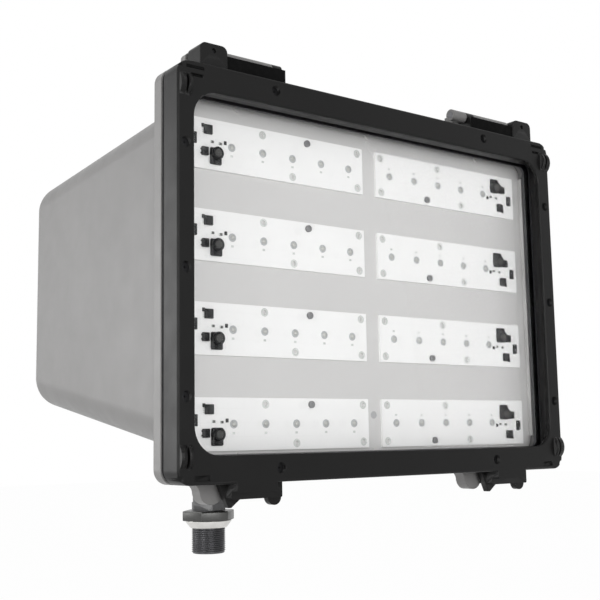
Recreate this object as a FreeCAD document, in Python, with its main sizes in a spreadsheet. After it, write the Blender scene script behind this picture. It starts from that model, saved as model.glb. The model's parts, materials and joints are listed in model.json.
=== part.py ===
"""LED flood light on a threaded swivel knuckle, in millimetres.

Every piece is drawn in the lamp's axes: X to the right as seen from the front, Y to the back,
Z up, and zero at the middle of the diode grid, on the plane of the diodes' front faces. The
finished pieces are then moved together, so that the origin is on the nipple's axis, where its
full thread starts.
"""
import FreeCAD, Part
import math
import os
import Sketcher
from types import SimpleNamespace

SIZES = {
    # Diode grid and boards
    "row_pitch": 58.4,
    "first_led": 19.0,
    "led_radius": 2.6,
    "led_front_radius": 1.8,
    "led_height": 1.4,
    "board_middle_gap": 6.2,
    "board_end_gap": 11.0,
    "board_tail": 34.0,
    "board_height": 32.6,
    "board_thickness": 1.6,
    "board_hole_rise": 12.3,
    "spare_hole_inset": 4.7,
    "board_screw_radius": 1.5,
    "board_screw_head": 2.3,
    "board_screw_head_height": 1.4,
    # Door casting
    "door_half_width": 167.0,
    "door_top": 130.2,
    "door_bottom": 122.9,
    "door_front": 20.5,
    "door_depth": 16.5,
    "door_corner": 9.0,
    "side_member": 11.8,
    "top_member": 17.2,
    "bottom_member": 16.9,
    "opening_corner": 5.0,
    "lip_corner": 17.0,
    "lip_thickness": 3.0,
    "skirt_wall": 3.0,
    "edge_round": 1.2,
    "corner_pad_radius": 9.5,
    "corner_pad_rise": 3.4,
    "corner_pad_width": 8.0,
    "corner_pad_inset": 1.0,
    "corner_pad_drop": 15.4,
    "corner_pad_lift": 16.3,
    "corner_slit_inset": 4.7,
    "corner_slit_width": 1.6,
    "corner_slit_floor": 0.5,
    "corner_groove_depth": 1.6,
    # Lens and its clamp
    "lens_gasket_thickness": 1.5,
    "glass_thickness": 4.0,
    "clamp_thickness": 2.0,
    "clamp_inset": 0.2,
    "lens_clearance": 0.3,
    "door_screw_radius": 2.0,
    "door_screw_head": 3.2,
    "door_screw_head_height": 2.4,
    "door_screw_sink": 5.0,
    "side_screw_pitch": 75.5,
    "side_screw_middle": 3.5,
    "end_screw_inset": 72.0,
    "top_screw_gap": 7.2,
    "hole_clearance": 0.15,
    # Gasket between door and flange
    "gasket_gap": 3.5,
    "gasket_play": 0.1,
    "gasket_inset": 1.0,
    "gasket_width": 4.5,
    # Hinges
    "hinge_forward": 9.6,
    "hinge_rise": 140.2,
    "tower_inset": 36.4,
    "tower_width": 19.6,
    "tower_top": 144.5,
    "tower_setback": 1.8,
    "tower_corner": 4.0,
    "hinge_span": 45.2,
    "hinge_lug_width": 7.0,
    "hinge_lug_setback": 3.0,
    "hinge_side_play": 0.4,
    "hinge_stop_length": 13.2,
    "hinge_stop_overhang": 8.5,
    "guard_gap": 0.6,
    "guard_thickness": 2.6,
    "guard_top_gap": 5.1,
    "barrel_radius": 4.2,
    "barrel_web": 5.0,
    "pin_radius": 2.5,
    "pin_play": 0.08,
    "pin_end_inset": 2.5,
    "set_screw_radius": 1.6,
    "set_screw_sink": 1.2,
    # Latches
    "latch_inset": 55.6,
    "latch_bar_left": 15.5,
    "latch_bar_right": 21.5,
    "latch_apron_right": 13.5,
    "latch_lug_drop": 14.4,
    "latch_lug_setback": 12.0,
    "near_lug_drop": 14.6,
    "near_lug_tip_left": 14.0,
    "near_lug_tip_right": 12.2,
    "near_lug_root_left": 21.5,
    "near_lug_root_right": 9.5,
    "far_lug_width": 9.8,
    "far_lug_right": 24.4,
    "ear_offset": 29.0,
    "ear_width": 16.0,
    "ear_drop": 12.8,
    "ear_fillet": 6.0,
    "bolt_ear_width": 34.0,
    "bolt_ear_drop": 9.0,
    "apron_drop": 5.3,
    "bar_drop": 9.5,
    "bar_setback": 6.5,
    "latch_bolt_drop": 2.2,
    "latch_bolt_radius": 3.0,
    "latch_bolt_play": 0.5,
    "latch_engagement": 8.5,
    "latch_head_corner": 5.77,
    "latch_head_height": 4.0,
    "latch_washer_radius": 6.0,
    "latch_washer_thickness": 1.6,
    # Housing casting
    "flange_depth": 9.4,
    "rim_side": 7.0,
    "rim_end": 12.5,
    "mouth_corner": 12.0,
    "body_side_step": 5.5,
    "body_top_step": 17.2,
    "body_bottom_step": 17.6,
    "body_corner": 22.0,
    "back_side_taper": 6.0,
    "back_top_taper": 9.7,
    "back_bottom_taper": 38.3,
    "back_depth": 232.0,
    "back_round": 20.0,
    "wall": 4.0,
    # Gear plate and what it carries
    "plate_thickness": 3.0,
    "plate_play": 0.5,
    "plate_lip": 1.5,
    "plate_lip_gap": 0.3,
    "plate_screw_inset": 2.7,
    "plate_screw_pitch": 110.0,
    "plate_screw_radius": 1.5,
    "plate_screw_head": 2.3,
    "plate_screw_length": 5.2,
    "sink_middle_gap": 16.0,
    "sink_side_gap": 17.5,
    "sink_bottom": 78.0,
    "sink_height": 170.0,
    "sink_base": 5.0,
    "fin_height": 25.0,
    "fin_thickness": 2.0,
    "block_width": 26.0,
    "block_depth": 18.0,
    "block_height": 20.0,
    "block_drop": 60.0,
    "surge_width": 24.0,
    "surge_depth": 26.0,
    "surge_height": 44.0,
    "surge_rise": 10.0,
    "ground_drop": 82.0,
    "ground_radius": 2.5,
    "ground_length": 9.0,
    "ground_head_radius": 4.5,
    "lead_radius": 1.4,
    "lead_step": 3.0,
    "lead_bend": 9.0,
    # Knuckle
    "pivot_back": 220.0,
    "pivot_drop": 125.0,
    "nipple_radius": 14.15,
    "nipple_length": 35.3,
    "nipple_bore": 10.0,
    "nipple_chamfer": 1.4,
    "neck_relief": 0.2,
    "foot_width": 12.6,
    "foot_length": 33.4,
    "foot_height": 6.0,
    "arm_thickness": 11.0,
    "arm_radius": 16.5,
    "arm_reach": 30.8,
    "arm_wall": 5.0,
    "wire_way": 8.5,
    "ring_thickness": 1.0,
    "yoke_thickness": 11.0,
    "yoke_radius": 12.0,
    "yoke_wall": 3.5,
    "yoke_base_width": 52.0,
    "yoke_base_length": 40.0,
    "yoke_base_offset": 12.0,
    "yoke_base_thickness": 5.5,
    "yoke_gasket_thickness": 1.5,
    "yoke_screw_radius": 3.0,
    "yoke_screw_head": 5.0,
    "yoke_screw_head_height": 3.6,
    "yoke_screw_grip": 6.0,
    "yoke_screw_side_inset": 6.0,
    "yoke_screw_end_inset": 5.0,
    "pad_drop": 86.0,
    "pad_height": 32.0,
    "bushing_radius": 9.0,
    "bushing_bore": 6.0,
    "bushing_length": 20.0,
    "pivot_radius": 4.0,
    "pivot_head": 7.0,
    "pivot_head_height": 2.4,
    "pivot_socket": 2.2,
    "pivot_washer_radius": 8.6,
    "pivot_washer_thickness": 1.6,
    "pivot_nut_corner": 7.5,
    "pivot_nut_height": 6.5,
    "pivot_end_length": 2.0,
    "nut_corner": 22.5,
    "nut_height": 8.3,
    "nut_cone_height": 5.8,
    "nut_cone_top_radius": 19.3,
    "nut_cone_end_radius": 15.4,
    "nut_gap": 0.2,
    "thread_play": 0.1,
}
# Parts soldered on each board: distance from the board's outer end, rise, width, height, thickness
BOARD_PARTS = {
    "driver": (16.0, 9.0, 6.0, 6.0, 1.6),
    "capacitor": (21.5, -7.6, 8.4, 11.0, 4.6),
    "rectifier": (13.5, -5.4, 5.4, 5.4, 2.2),
    "resistor_a": (19.4, 1.6, 2.6, 1.6, 0.6),
    "resistor_b": (25.4, 1.2, 2.6, 1.6, 0.6),
    "resistor_c": (5.8, 2.4, 3.6, 7.2, 1.4),
}
# Shallow grooves in the door's front near each corner: distance from the door's side, distance from its top
# or bottom edge, width and height
CORNER_GROOVES = {
    "top_outer": (6.0, 2.8, 13.0, 2.2),
    "top_inner": (9.2, 7.9, 8.8, 2.0),
    "top_notch": (-1.0, 2.3, 4.5, 2.6),
    "bottom": (11.0, 2.3, 11.0, 3.3),
    "bottom_notch": (-1.0, 2.3, 4.5, 3.4),
}
CORNER_GROOVE_SIZES = ("inset", "gap", "width", "height")
for groove, numbers in CORNER_GROOVES.items():
    SIZES |= {f"{groove}_{word}": number for word, number in zip(CORNER_GROOVE_SIZES, numbers)}
BOARD_PART_SIZES = ("end_gap", "rise", "width", "height", "thickness")
for component, numbers in BOARD_PARTS.items():
    SIZES |= {f"{component}_{word}": number for word, number in zip(BOARD_PART_SIZES, numbers)}
LEDS_PER_BOARD = 5
ROWS = 4
FINS = 11
LEADS = 3
SIDES = {"left": -1, "right": 1}
OVERSHOOT = 1.0  # how far a cutting solid runs past the face that it cuts
SINK_IN = 2.0    # how far a lug runs into the casting that carries it
TONGUE_ROUND = 0.49  # corner radius of a latch tongue, as a share of its width
LOCKNUT_TURN = -15.8  # degrees between the X axis and the nearest corner of the locknut


class Size:
    """A length that knows its value and the sheet formula that gives it."""

    def __init__(self, value, formula):
        self.value = float(value)
        self.formula = formula

    def __add__(self, other):
        other = as_size(other)
        return Size(self.value + other.value, f"({self.formula} + {other.formula})")

    def __sub__(self, other):
        other = as_size(other)
        return Size(self.value - other.value, f"({self.formula} - {other.formula})")

    def __mul__(self, factor):
        return Size(self.value * factor, f"({self.formula} * {float(factor)})")

    def __truediv__(self, divisor):
        return Size(self.value / divisor, f"({self.formula} / {float(divisor)})")

    def __neg__(self):
        return self * -1


def as_size(number):
    if isinstance(number, Size):
        return number
    return Size(number, f"({float(number)})")


doc = FreeCAD.newDocument("FloodLight")
sheet = doc.addObject("Spreadsheet::Sheet", "Sizes")
for row, (word, number) in enumerate(SIZES.items(), start=1):
    sheet.set(f"A{row}", word)
    sheet.set(f"B{row}", str(number))
    sheet.setAlias(f"B{row}", word)
doc.recompute()
S = SimpleNamespace(**{word: Size(number, f"Sizes.{word}") for word, number in SIZES.items()})
ZERO = as_size(0)

# Planes and places that several pieces share
DOOR_FRONT = -S.door_front
DOOR_REAR = DOOR_FRONT + S.door_depth
CLAMP_FRONT = DOOR_REAR - S.clamp_thickness
GLASS_FRONT = CLAMP_FRONT - S.glass_thickness
LENS_SEAT = GLASS_FRONT - S.lens_gasket_thickness
BOARD_END = S.door_half_width - S.rim_side - S.board_end_gap
LED_PITCH = (BOARD_END - S.board_tail - S.first_led) / (LEDS_PER_BOARD - 1)
LENS_OVERLAP = S.side_member / 2 - S.door_screw_radius - S.lens_clearance
SCREW_SIDE = S.door_half_width - S.side_member / 2
FLANGE_FRONT = DOOR_REAR + S.gasket_gap
FLANGE_REAR = FLANGE_FRONT + S.flange_depth
BOARD_FRONT = S.led_height
PLATE_FRONT = BOARD_FRONT + S.board_thickness
PLATE_REAR = PLATE_FRONT + S.plate_thickness
HINGE_Y = -S.hinge_forward
HINGE_Z = S.hinge_rise
TOWER_INNER = S.door_half_width - S.tower_inset
HINGE_INNER = TOWER_INNER - S.hinge_span
LATCH_SIDE = S.door_half_width - S.latch_inset
LATCH_Z = -S.door_bottom - S.latch_bolt_drop
PIVOT_Y = S.pivot_back
PIVOT_Z = -S.pivot_drop
BASE_Y = PIVOT_Y - S.yoke_base_offset
ARM_FOOT = PIVOT_Z - S.arm_reach
NIPPLE_END = ARM_FOOT - S.nipple_length
THREAD_START = NIPPLE_END + S.nipple_chamfer
NUT_TOP = ARM_FOOT - S.nut_gap
NUT_BOTTOM = NUT_TOP - S.nut_height - S.nut_cone_height
ARM_LEFT = -S.arm_thickness / 2
ARM_RIGHT = ARM_LEFT + S.arm_thickness
YOKE_LEFT = ARM_RIGHT + S.ring_thickness
YOKE_RIGHT = YOKE_LEFT + S.yoke_thickness
YOKE_X = (YOKE_LEFT + YOKE_RIGHT) / 2
PAD_BOTTOM = -S.pad_drop
BASE_TOP = PAD_BOTTOM - S.yoke_gasket_thickness
BASE_BOTTOM = BASE_TOP - S.yoke_base_thickness

NODES = []
TURNS = {
    "X": FreeCAD.Rotation(FreeCAD.Vector(0, 1, 0), 90),
    "Y": FreeCAD.Rotation(FreeCAD.Vector(1, 0, 0), -90),
    "Z": FreeCAD.Rotation(),
}


# Drawing helpers

def bind(thing, name, size):
    thing.setExpression(name, as_size(size).formula)


def place(thing, x, y, z, rotation=FreeCAD.Rotation()):
    thing.Placement = FreeCAD.Placement(FreeCAD.Vector(), rotation)
    bind(thing, "Placement.Base.x", x)
    bind(thing, "Placement.Base.y", y)
    bind(thing, "Placement.Base.z", z)
    return thing


def box(name, x, y, z, length, width, height):
    """A block from its lowest corner and its size along X, Y and Z."""
    block = doc.addObject("Part::Box", name)
    bind(block, "Length", length)
    bind(block, "Width", width)
    bind(block, "Height", height)
    return place(block, x, y, z)


def cylinder(name, axis, x, y, z, radius, length):
    """A round bar that starts at a point and runs along one axis."""
    bar = doc.addObject("Part::Cylinder", name)
    bind(bar, "Radius", radius)
    bind(bar, "Height", length)
    return place(bar, x, y, z, TURNS[axis])


def cone(name, axis, x, y, z, radius, end_radius, length):
    taper = doc.addObject("Part::Cone", name)
    bind(taper, "Radius1", radius)
    bind(taper, "Radius2", end_radius)
    bind(taper, "Height", length)
    return place(taper, x, y, z, TURNS[axis])


def hexagon(name, axis, x, y, z, corner, length, spin=0):
    """A hexagonal bar, turned by spin degrees about its own axis."""
    prism = doc.addObject("Part::Prism", name)
    prism.Polygon = 6
    bind(prism, "Circumradius", corner)
    bind(prism, "Height", length)
    turn = TURNS[axis].multiply(FreeCAD.Rotation(FreeCAD.Vector(0, 0, 1), spin))
    return place(prism, x, y, z, turn)


def fuse(name, *members):
    union = doc.addObject("Part::MultiFuse", name)
    union.Shapes = list(members)
    return union


def cut(name, base, *tools):
    result = doc.addObject("Part::Cut", name)
    result.Base = base
    result.Tool = tools[0] if len(tools) == 1 else fuse(name + "_tools", *tools)
    return result


def group(name, members):
    """Separate solids that share one node."""
    together = doc.addObject("Part::Compound", name)
    together.Links = list(members)
    return together


def node(thing, label):
    """Registers a finished piece and moves it, so that the nipple's thread starts at the origin."""
    if thing.isDerivedFrom("Part::Primitive"):
        thing = group(thing.Name + "_alone", [thing])
    thing.Label = label
    place(thing, ZERO, -PIVOT_Y, -THREAD_START)
    NODES.append(thing)


def outline(left, right, bottom, top, corner):
    return tuple(as_size(side) for side in (left, right, bottom, top, corner))


def inset(shape, distance, corner=None):
    """The same outline drawn in by a distance on all four sides."""
    left, right, bottom, top, old_corner = shape
    new_corner = old_corner if corner is None else as_size(corner)
    return left + distance, right - distance, bottom + distance, top - distance, new_corner


def mirrored_range(side, near, far):
    """Lowest and highest X of a stretch given by its distances from the middle."""
    return (near, far) if side > 0 else (-far, -near)


def add_outline(sketch, shape):
    """Adds a rectangle with round corners, held by four distances and a radius."""
    left, right, bottom, top, corner = (side.value for side in shape)
    first = sketch.GeometryCount
    inner_left, inner_right = left + corner, right - corner
    inner_bottom, inner_top = bottom + corner, top - corner
    normal = FreeCAD.Vector(0, 0, 1)
    ends = [
        ((inner_left, bottom), (inner_right, bottom)),
        ((right, inner_bottom), (right, inner_top)),
        ((inner_right, top), (inner_left, top)),
        ((left, inner_top), (left, inner_bottom)),
    ]
    for start, end in ends:
        sketch.addGeometry(Part.LineSegment(FreeCAD.Vector(*start, 0), FreeCAD.Vector(*end, 0)))
    centres = [(inner_right, inner_bottom), (inner_right, inner_top), (inner_left, inner_top),
               (inner_left, inner_bottom)]
    for quarter, centre in enumerate(centres):
        circle = Part.Circle(FreeCAD.Vector(*centre, 0), normal, corner)
        start = (quarter - 1) * math.pi / 2
        sketch.addGeometry(Part.ArcOfCircle(circle, start, start + math.pi / 2))
    for i in range(4):
        line, arc, following = first + i, first + 4 + i, first + (i + 1) % 4
        sketch.addConstraint(Sketcher.Constraint("Tangent", line, 2, arc, 1))
        sketch.addConstraint(Sketcher.Constraint("Tangent", arc, 2, following, 1))
        sketch.addConstraint(Sketcher.Constraint("Vertical" if i % 2 else "Horizontal", line))
    for i in range(1, 4):
        sketch.addConstraint(Sketcher.Constraint("Equal", first + 4, first + 4 + i))
    datums = [
        (Sketcher.Constraint("DistanceY", -1, 1, first, 1, bottom), shape[2]),
        (Sketcher.Constraint("DistanceX", -1, 1, first + 1, 1, right), shape[1]),
        (Sketcher.Constraint("DistanceY", -1, 1, first + 2, 1, top), shape[3]),
        (Sketcher.Constraint("DistanceX", -1, 1, first + 3, 1, left), shape[0]),
        (Sketcher.Constraint("Radius", first + 4, corner), shape[4]),
    ]
    for constraint, size in datums:
        index = sketch.addConstraint(constraint)
        bind(sketch, f"Constraints[{index}]", size)


def add_sketch(body, name, y, *shapes):
    """A sketch of rounded rectangles, upright at a distance y behind the diodes."""
    sketch = body.newObject("Sketcher::SketchObject", name)
    plane = next(item for item in body.Origin.OriginFeatures if item.Role == "XZ_Plane")
    sketch.AttachmentSupport = [(plane, "")]
    sketch.MapMode = "FlatFace"
    bind(sketch, "AttachmentOffset.Base.z", -as_size(y))
    for shape in shapes:
        add_outline(sketch, shape)
    return sketch


def plate(name, front, rear, *shapes):
    """An upright plate between two planes: one outline, and a second one as its opening."""
    body = doc.addObject("PartDesign::Body", name)
    sketch = add_sketch(body, name + "_outline", rear, *shapes)
    pad = body.newObject("PartDesign::Pad", name + "_pad")
    pad.Profile = sketch
    bind(pad, "Length", as_size(rear) - front)
    return body


def edges_at(feature, y):
    """Names of the edges that lie wholly on the plane at y."""
    names = []
    for number, edge in enumerate(feature.Shape.Edges, start=1):
        box_of_edge = edge.BoundBox
        if max(abs(box_of_edge.YMin - y.value), abs(box_of_edge.YMax - y.value)) < 1e-3:
            names.append(f"Edge{number}")
    return names


def round_edges(body, name, y, radius):
    """Rounds every edge of a body's last feature that lies on the plane at y."""
    doc.recompute()
    tip = body.Tip
    fillet = body.newObject("PartDesign::Fillet", name)
    fillet.Base = (tip, edges_at(tip, y))
    bind(fillet, "Radius", radius)
    return body


def tapered_body(name, front, front_shape, back, back_shape, back_round):
    """A tapered block between two upright rectangles, with round long edges and a round back."""
    body = doc.addObject("PartDesign::Body", name)
    wedge = body.newObject("PartDesign::AdditiveWedge", name + "_wedge")
    spans = {"Ymin": front, "Ymax": back}
    for prefix, shape in (("", front_shape), ("2", back_shape)):
        left, right, bottom, top, corner = shape
        spans |= {f"X{prefix}min": left, f"X{prefix}max": right}
        spans |= {f"Z{prefix}min": bottom, f"Z{prefix}max": top}
    for word, size in spans.items():
        bind(wedge, word, size)
    doc.recompute()
    long_edges = [f"Edge{number}" for number, edge in enumerate(wedge.Shape.Edges, start=1)
                  if edge.BoundBox.YLength > (as_size(back) - front).value / 2]
    fillet = body.newObject("PartDesign::Fillet", name + "_corners")
    fillet.Base = (wedge, long_edges)
    bind(fillet, "Radius", corner)
    return round_edges(body, name + "_back", as_size(back), back_round)


def wedge(name, front, rear, bottom, bottom_span, top, top_span):
    """An upright block between two planes, whose width changes from its bottom to its top."""
    block = doc.addObject("Part::Wedge", name)
    spans = {"Xmin": bottom_span[0], "Xmax": bottom_span[1], "X2min": top_span[0], "X2max": top_span[1],
             "Ymin": bottom, "Ymax": top}
    for prefix in ("", "2"):
        spans |= {f"Z{prefix}min": -as_size(rear), f"Z{prefix}max": -as_size(front)}
    for word, size in spans.items():
        bind(block, word, size)
    return place(block, ZERO, ZERO, ZERO, FreeCAD.Rotation(FreeCAD.Vector(1, 0, 0), 90))


def screw(name, axis, head_end, head_radius, head_height, radius, length):
    """A screw from the outer face of its head, pointing along one axis."""
    x, y, z = (as_size(place_on_axis) for place_on_axis in head_end)
    head = cylinder(name + "_head", axis, x, y, z, head_radius, head_height)
    shank = cylinder(name + "_shank", axis, x, y, z, radius, length)
    return fuse(name, head, shank)


def tube(name, axis, x, y, z, outer, inner, length):
    """A ring with a round bore."""
    bar = cylinder(name + "_bar", axis, x, y, z, outer, length)
    bore = cylinder(name + "_bore", axis, x, y, z, inner, length)
    return cut(name, bar, bore)


# Knuckle: lower arm with its nipple, the swivel pieces, and the yoke under the housing

def make_knuckle_arm():
    eye = cylinder("arm_eye", "X", ARM_LEFT, PIVOT_Y, PIVOT_Z, S.arm_radius, S.arm_thickness)
    shank = box("arm_shank", ARM_LEFT, PIVOT_Y - S.arm_radius, ARM_FOOT,
                S.arm_thickness, S.arm_radius * 2, S.arm_reach)
    below = box("arm_below", ARM_LEFT - OVERSHOOT, PIVOT_Y - S.arm_radius, ARM_FOOT - S.arm_radius,
                S.arm_thickness + OVERSHOOT * 2, S.arm_radius * 2, S.arm_radius)
    upper = cut("arm_upper", fuse("arm_outline", eye, shank), below)
    neck_bottom = NUT_BOTTOM - S.thread_play
    thread = cylinder("arm_thread", "Z", ZERO, PIVOT_Y, THREAD_START, S.nipple_radius,
                      neck_bottom - THREAD_START)
    neck = cylinder("arm_neck", "Z", ZERO, PIVOT_Y, neck_bottom, S.nipple_radius - S.neck_relief,
                    ARM_FOOT - neck_bottom)
    tip = cone("arm_thread_tip", "Z", ZERO, PIVOT_Y, NIPPLE_END,
               S.nipple_radius - S.nipple_chamfer, S.nipple_radius, S.nipple_chamfer)
    chamber_left = ARM_LEFT + S.arm_wall
    chamber = cylinder("arm_chamber", "X", chamber_left, PIVOT_Y, PIVOT_Z, S.wire_way,
                       S.arm_thickness - S.arm_wall + OVERSHOOT)
    bore_top = ARM_FOOT - SINK_IN
    bore = cylinder("arm_bore", "Z", ZERO, PIVOT_Y, NIPPLE_END - OVERSHOOT, S.nipple_bore,
                    bore_top - NIPPLE_END + OVERSHOOT)
    channel_width = S.arm_thickness - S.arm_wall - SINK_IN
    channel_reach = S.nipple_bore - OVERSHOOT
    channel = box("arm_channel", chamber_left, PIVOT_Y - channel_reach, bore_top - OVERSHOOT,
                  channel_width, channel_reach * 2, PIVOT_Z - bore_top + OVERSHOOT)
    bolt_hole = cylinder("arm_bolt_hole", "X", ARM_LEFT - OVERSHOOT, PIVOT_Y, PIVOT_Z,
                         S.pivot_radius + S.pin_play, S.arm_thickness + OVERSHOOT * 2)
    head_seat = cylinder("arm_head_seat", "X", ARM_LEFT - OVERSHOOT, PIVOT_Y, PIVOT_Z,
                         S.pivot_head + S.hole_clearance, S.pivot_head_height + OVERSHOOT)
    foot = box("arm_foot", -S.foot_width / 2, PIVOT_Y - S.foot_length / 2, ARM_FOOT,
               S.foot_width, S.foot_length, S.foot_height)
    solid = fuse("arm_solid", upper, foot, neck, thread, tip)
    node(cut("arm", solid, chamber, bore, channel, bolt_hole, head_seat), "knuckle_arm")


def make_locknut():
    hexagon_bottom = NUT_TOP - S.nut_height
    body = hexagon("locknut_hexagon", "Z", ZERO, PIVOT_Y, hexagon_bottom, S.nut_corner, S.nut_height,
                   spin=LOCKNUT_TURN)
    seat = cone("locknut_cone", "Z", ZERO, PIVOT_Y, NUT_BOTTOM, S.nut_cone_end_radius, S.nut_cone_top_radius,
                S.nut_cone_height)
    bore = cylinder("locknut_bore", "Z", ZERO, PIVOT_Y, NUT_BOTTOM - OVERSHOOT,
                    S.nipple_radius + S.thread_play, NUT_TOP - NUT_BOTTOM + OVERSHOOT * 2)
    node(cut("locknut", fuse("locknut_solid", body, seat), bore), "conduit_locknut")


def make_swivel_clamp():
    node(tube("ring", "X", ARM_RIGHT, PIVOT_Y, PIVOT_Z, S.yoke_radius, S.wire_way, S.ring_thickness),
         "swivel_ring")
    washer_left = YOKE_RIGHT
    nut_left = washer_left + S.pivot_washer_thickness
    bolt_end = nut_left + S.pivot_nut_height + S.pivot_end_length
    hole = S.pivot_radius + S.pin_play
    bolt = screw("pivot", "X", (ARM_LEFT, PIVOT_Y, PIVOT_Z), S.pivot_head, S.pivot_head_height,
                 S.pivot_radius, bolt_end - ARM_LEFT)
    socket = hexagon("pivot_socket", "X", ARM_LEFT - OVERSHOOT, PIVOT_Y, PIVOT_Z, S.pivot_socket,
                     S.pivot_head_height / 2 + OVERSHOOT)
    node(cut("pivot_cut", bolt, socket), "pivot_bolt")
    node(tube("pivot_ring", "X", washer_left, PIVOT_Y, PIVOT_Z, S.pivot_washer_radius, hole,
              S.pivot_washer_thickness), "pivot_washer")
    nut = hexagon("pivot_hexagon", "X", nut_left, PIVOT_Y, PIVOT_Z, S.pivot_nut_corner, S.pivot_nut_height)
    nut_bore = cylinder("pivot_nut_bore", "X", nut_left, PIVOT_Y, PIVOT_Z, hole, S.pivot_nut_height)
    node(cut("pivot_nut_cut", nut, nut_bore), "pivot_nut")


def yoke_screw_places():
    reach_across = S.yoke_base_width / 2 - S.yoke_screw_side_inset
    reach_along = S.yoke_base_length / 2 - S.yoke_screw_end_inset
    for across in (-1, 1):
        for along in (-1, 1):
            yield YOKE_X + reach_across * across, BASE_Y + reach_along * along


def yoke_footprint(name, bottom, height):
    return box(name, YOKE_X - S.yoke_base_width / 2, BASE_Y - S.yoke_base_length / 2, bottom,
               S.yoke_base_width, S.yoke_base_length, height)


def yoke_holes(name, bottom, height, extra):
    """Clearance holes for the yoke's four screws, through a layer."""
    return [cylinder(f"{name}_{i}", "Z", x, y, bottom - OVERSHOOT, S.yoke_screw_radius + extra,
                     height + OVERSHOOT * 2) for i, (x, y) in enumerate(yoke_screw_places())]


def make_yoke():
    eye = cylinder("yoke_eye", "X", YOKE_LEFT, PIVOT_Y, PIVOT_Z, S.yoke_radius, S.yoke_thickness)
    neck_bottom = PIVOT_Z - S.yoke_wall
    neck = box("yoke_neck", YOKE_LEFT, BASE_Y - S.yoke_radius, neck_bottom,
               S.yoke_thickness, S.yoke_radius + S.yoke_base_length / 2, BASE_TOP - neck_bottom)
    base = yoke_footprint("yoke_base", BASE_BOTTOM, S.yoke_base_thickness)
    room = S.yoke_thickness - S.yoke_wall
    chamber = cylinder("yoke_chamber", "X", YOKE_LEFT - OVERSHOOT, PIVOT_Y, PIVOT_Z, S.wire_way,
                       room + OVERSHOOT)
    channel_reach = S.wire_way - SINK_IN
    channel = box("yoke_channel", YOKE_LEFT + SINK_IN, BASE_Y - channel_reach, PIVOT_Z, room - SINK_IN,
                  PIVOT_Y - BASE_Y + channel_reach * 2 - SINK_IN, BASE_TOP - PIVOT_Z + OVERSHOOT)
    bolt_hole = cylinder("yoke_bolt_hole", "X", YOKE_LEFT, PIVOT_Y, PIVOT_Z,
                         S.pivot_radius + S.pin_play, S.yoke_thickness + OVERSHOOT)
    holes = yoke_holes("yoke_hole", BASE_BOTTOM, S.yoke_base_thickness, S.hole_clearance)
    solid = fuse("yoke_solid", eye, neck, base)
    node(cut("yoke", solid, chamber, channel, bolt_hole, *holes), "knuckle_yoke")
    pad = yoke_footprint("yoke_seal", BASE_TOP, S.yoke_gasket_thickness)
    way = cylinder("yoke_seal_way", "Z", YOKE_X, BASE_Y, BASE_TOP - OVERSHOOT, S.bushing_radius,
                   S.yoke_gasket_thickness + OVERSHOOT * 2)
    seal_holes = yoke_holes("yoke_seal_hole", BASE_TOP, S.yoke_gasket_thickness, S.hole_clearance)
    node(cut("yoke_seal_cut", pad, way, *seal_holes), "yoke_gasket")
    head_bottom = BASE_BOTTOM - S.yoke_screw_head_height
    length = PAD_BOTTOM + S.yoke_screw_grip - head_bottom
    screws = [screw(f"yoke_screw_{i}", "Z", (x, y, head_bottom), S.yoke_screw_head,
                    S.yoke_screw_head_height, S.yoke_screw_radius, length)
              for i, (x, y) in enumerate(yoke_screw_places())]
    node(group("yoke_screw_group", screws), "yoke_screws")


# Housing: tapered shell, flange, hinge barrels, latch ears and knuckle pad

DOOR_OUTLINE = outline(-S.door_half_width, S.door_half_width, -S.door_bottom, S.door_top, S.door_corner)
MOUTH = outline(S.rim_side - S.door_half_width, S.door_half_width - S.rim_side,
                S.rim_end - S.door_bottom, S.door_top - S.rim_end, S.mouth_corner)
BODY_FRONT = outline(S.body_side_step - S.door_half_width, S.door_half_width - S.body_side_step,
                     S.body_bottom_step - S.door_bottom, S.door_top - S.body_top_step, S.body_corner)
BODY_BACK = outline(BODY_FRONT[0] + S.back_side_taper, BODY_FRONT[1] - S.back_side_taper,
                    BODY_FRONT[2] + S.back_bottom_taper, BODY_FRONT[3] - S.back_top_taper, S.body_corner)


def plate_screw_places():
    left, right, bottom, top, corner = inset(MOUTH, S.plate_play + S.plate_screw_inset)
    for column in (-1, 0, 1):
        for edge in (bottom, top):
            yield S.plate_screw_pitch * column, edge


def barrel_stretches(side):
    """Distances from the middle where the housing's barrels start and end; the right hinge has a second one."""
    stretches = {"main": (HINGE_INNER + S.hinge_lug_width + S.hinge_side_play, TOWER_INNER - S.hinge_side_play)}
    if side > 0:
        end = HINGE_INNER - S.hinge_side_play
        stretches["stop"] = (end - S.hinge_stop_length, end)
    return stretches


def tower_outline(side, top):
    left, right = mirrored_range(side, TOWER_INNER, TOWER_INNER + S.tower_width)
    return outline(left, right, S.door_top - S.door_corner, top, S.tower_corner)


def latch_lug_outline(left, width, drop):
    """A tongue with a round end, which hangs from the lower edge of the door or the flange."""
    corner = width * TONGUE_ROUND
    return outline(left, left + width, -S.door_bottom - drop, corner * 2 - S.door_bottom, corner)


def ear_fillet(word, ear_left):
    """The hollow corner between the flange's lower edge and the left edge of a latch ear."""
    bottom = -S.door_bottom - S.ear_fillet
    block = box(f"shell_ear_corner_{word}", ear_left - S.ear_fillet, FLANGE_FRONT, bottom,
                S.ear_fillet + SINK_IN, S.flange_depth, S.ear_fillet + SINK_IN)
    hollow = cylinder(f"shell_ear_hollow_{word}", "Y", ear_left - S.ear_fillet, FLANGE_FRONT - OVERSHOOT, bottom,
                      S.ear_fillet, S.flange_depth + OVERSHOOT * 2)
    return cut(f"shell_ear_fillet_{word}", block, hollow)


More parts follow.
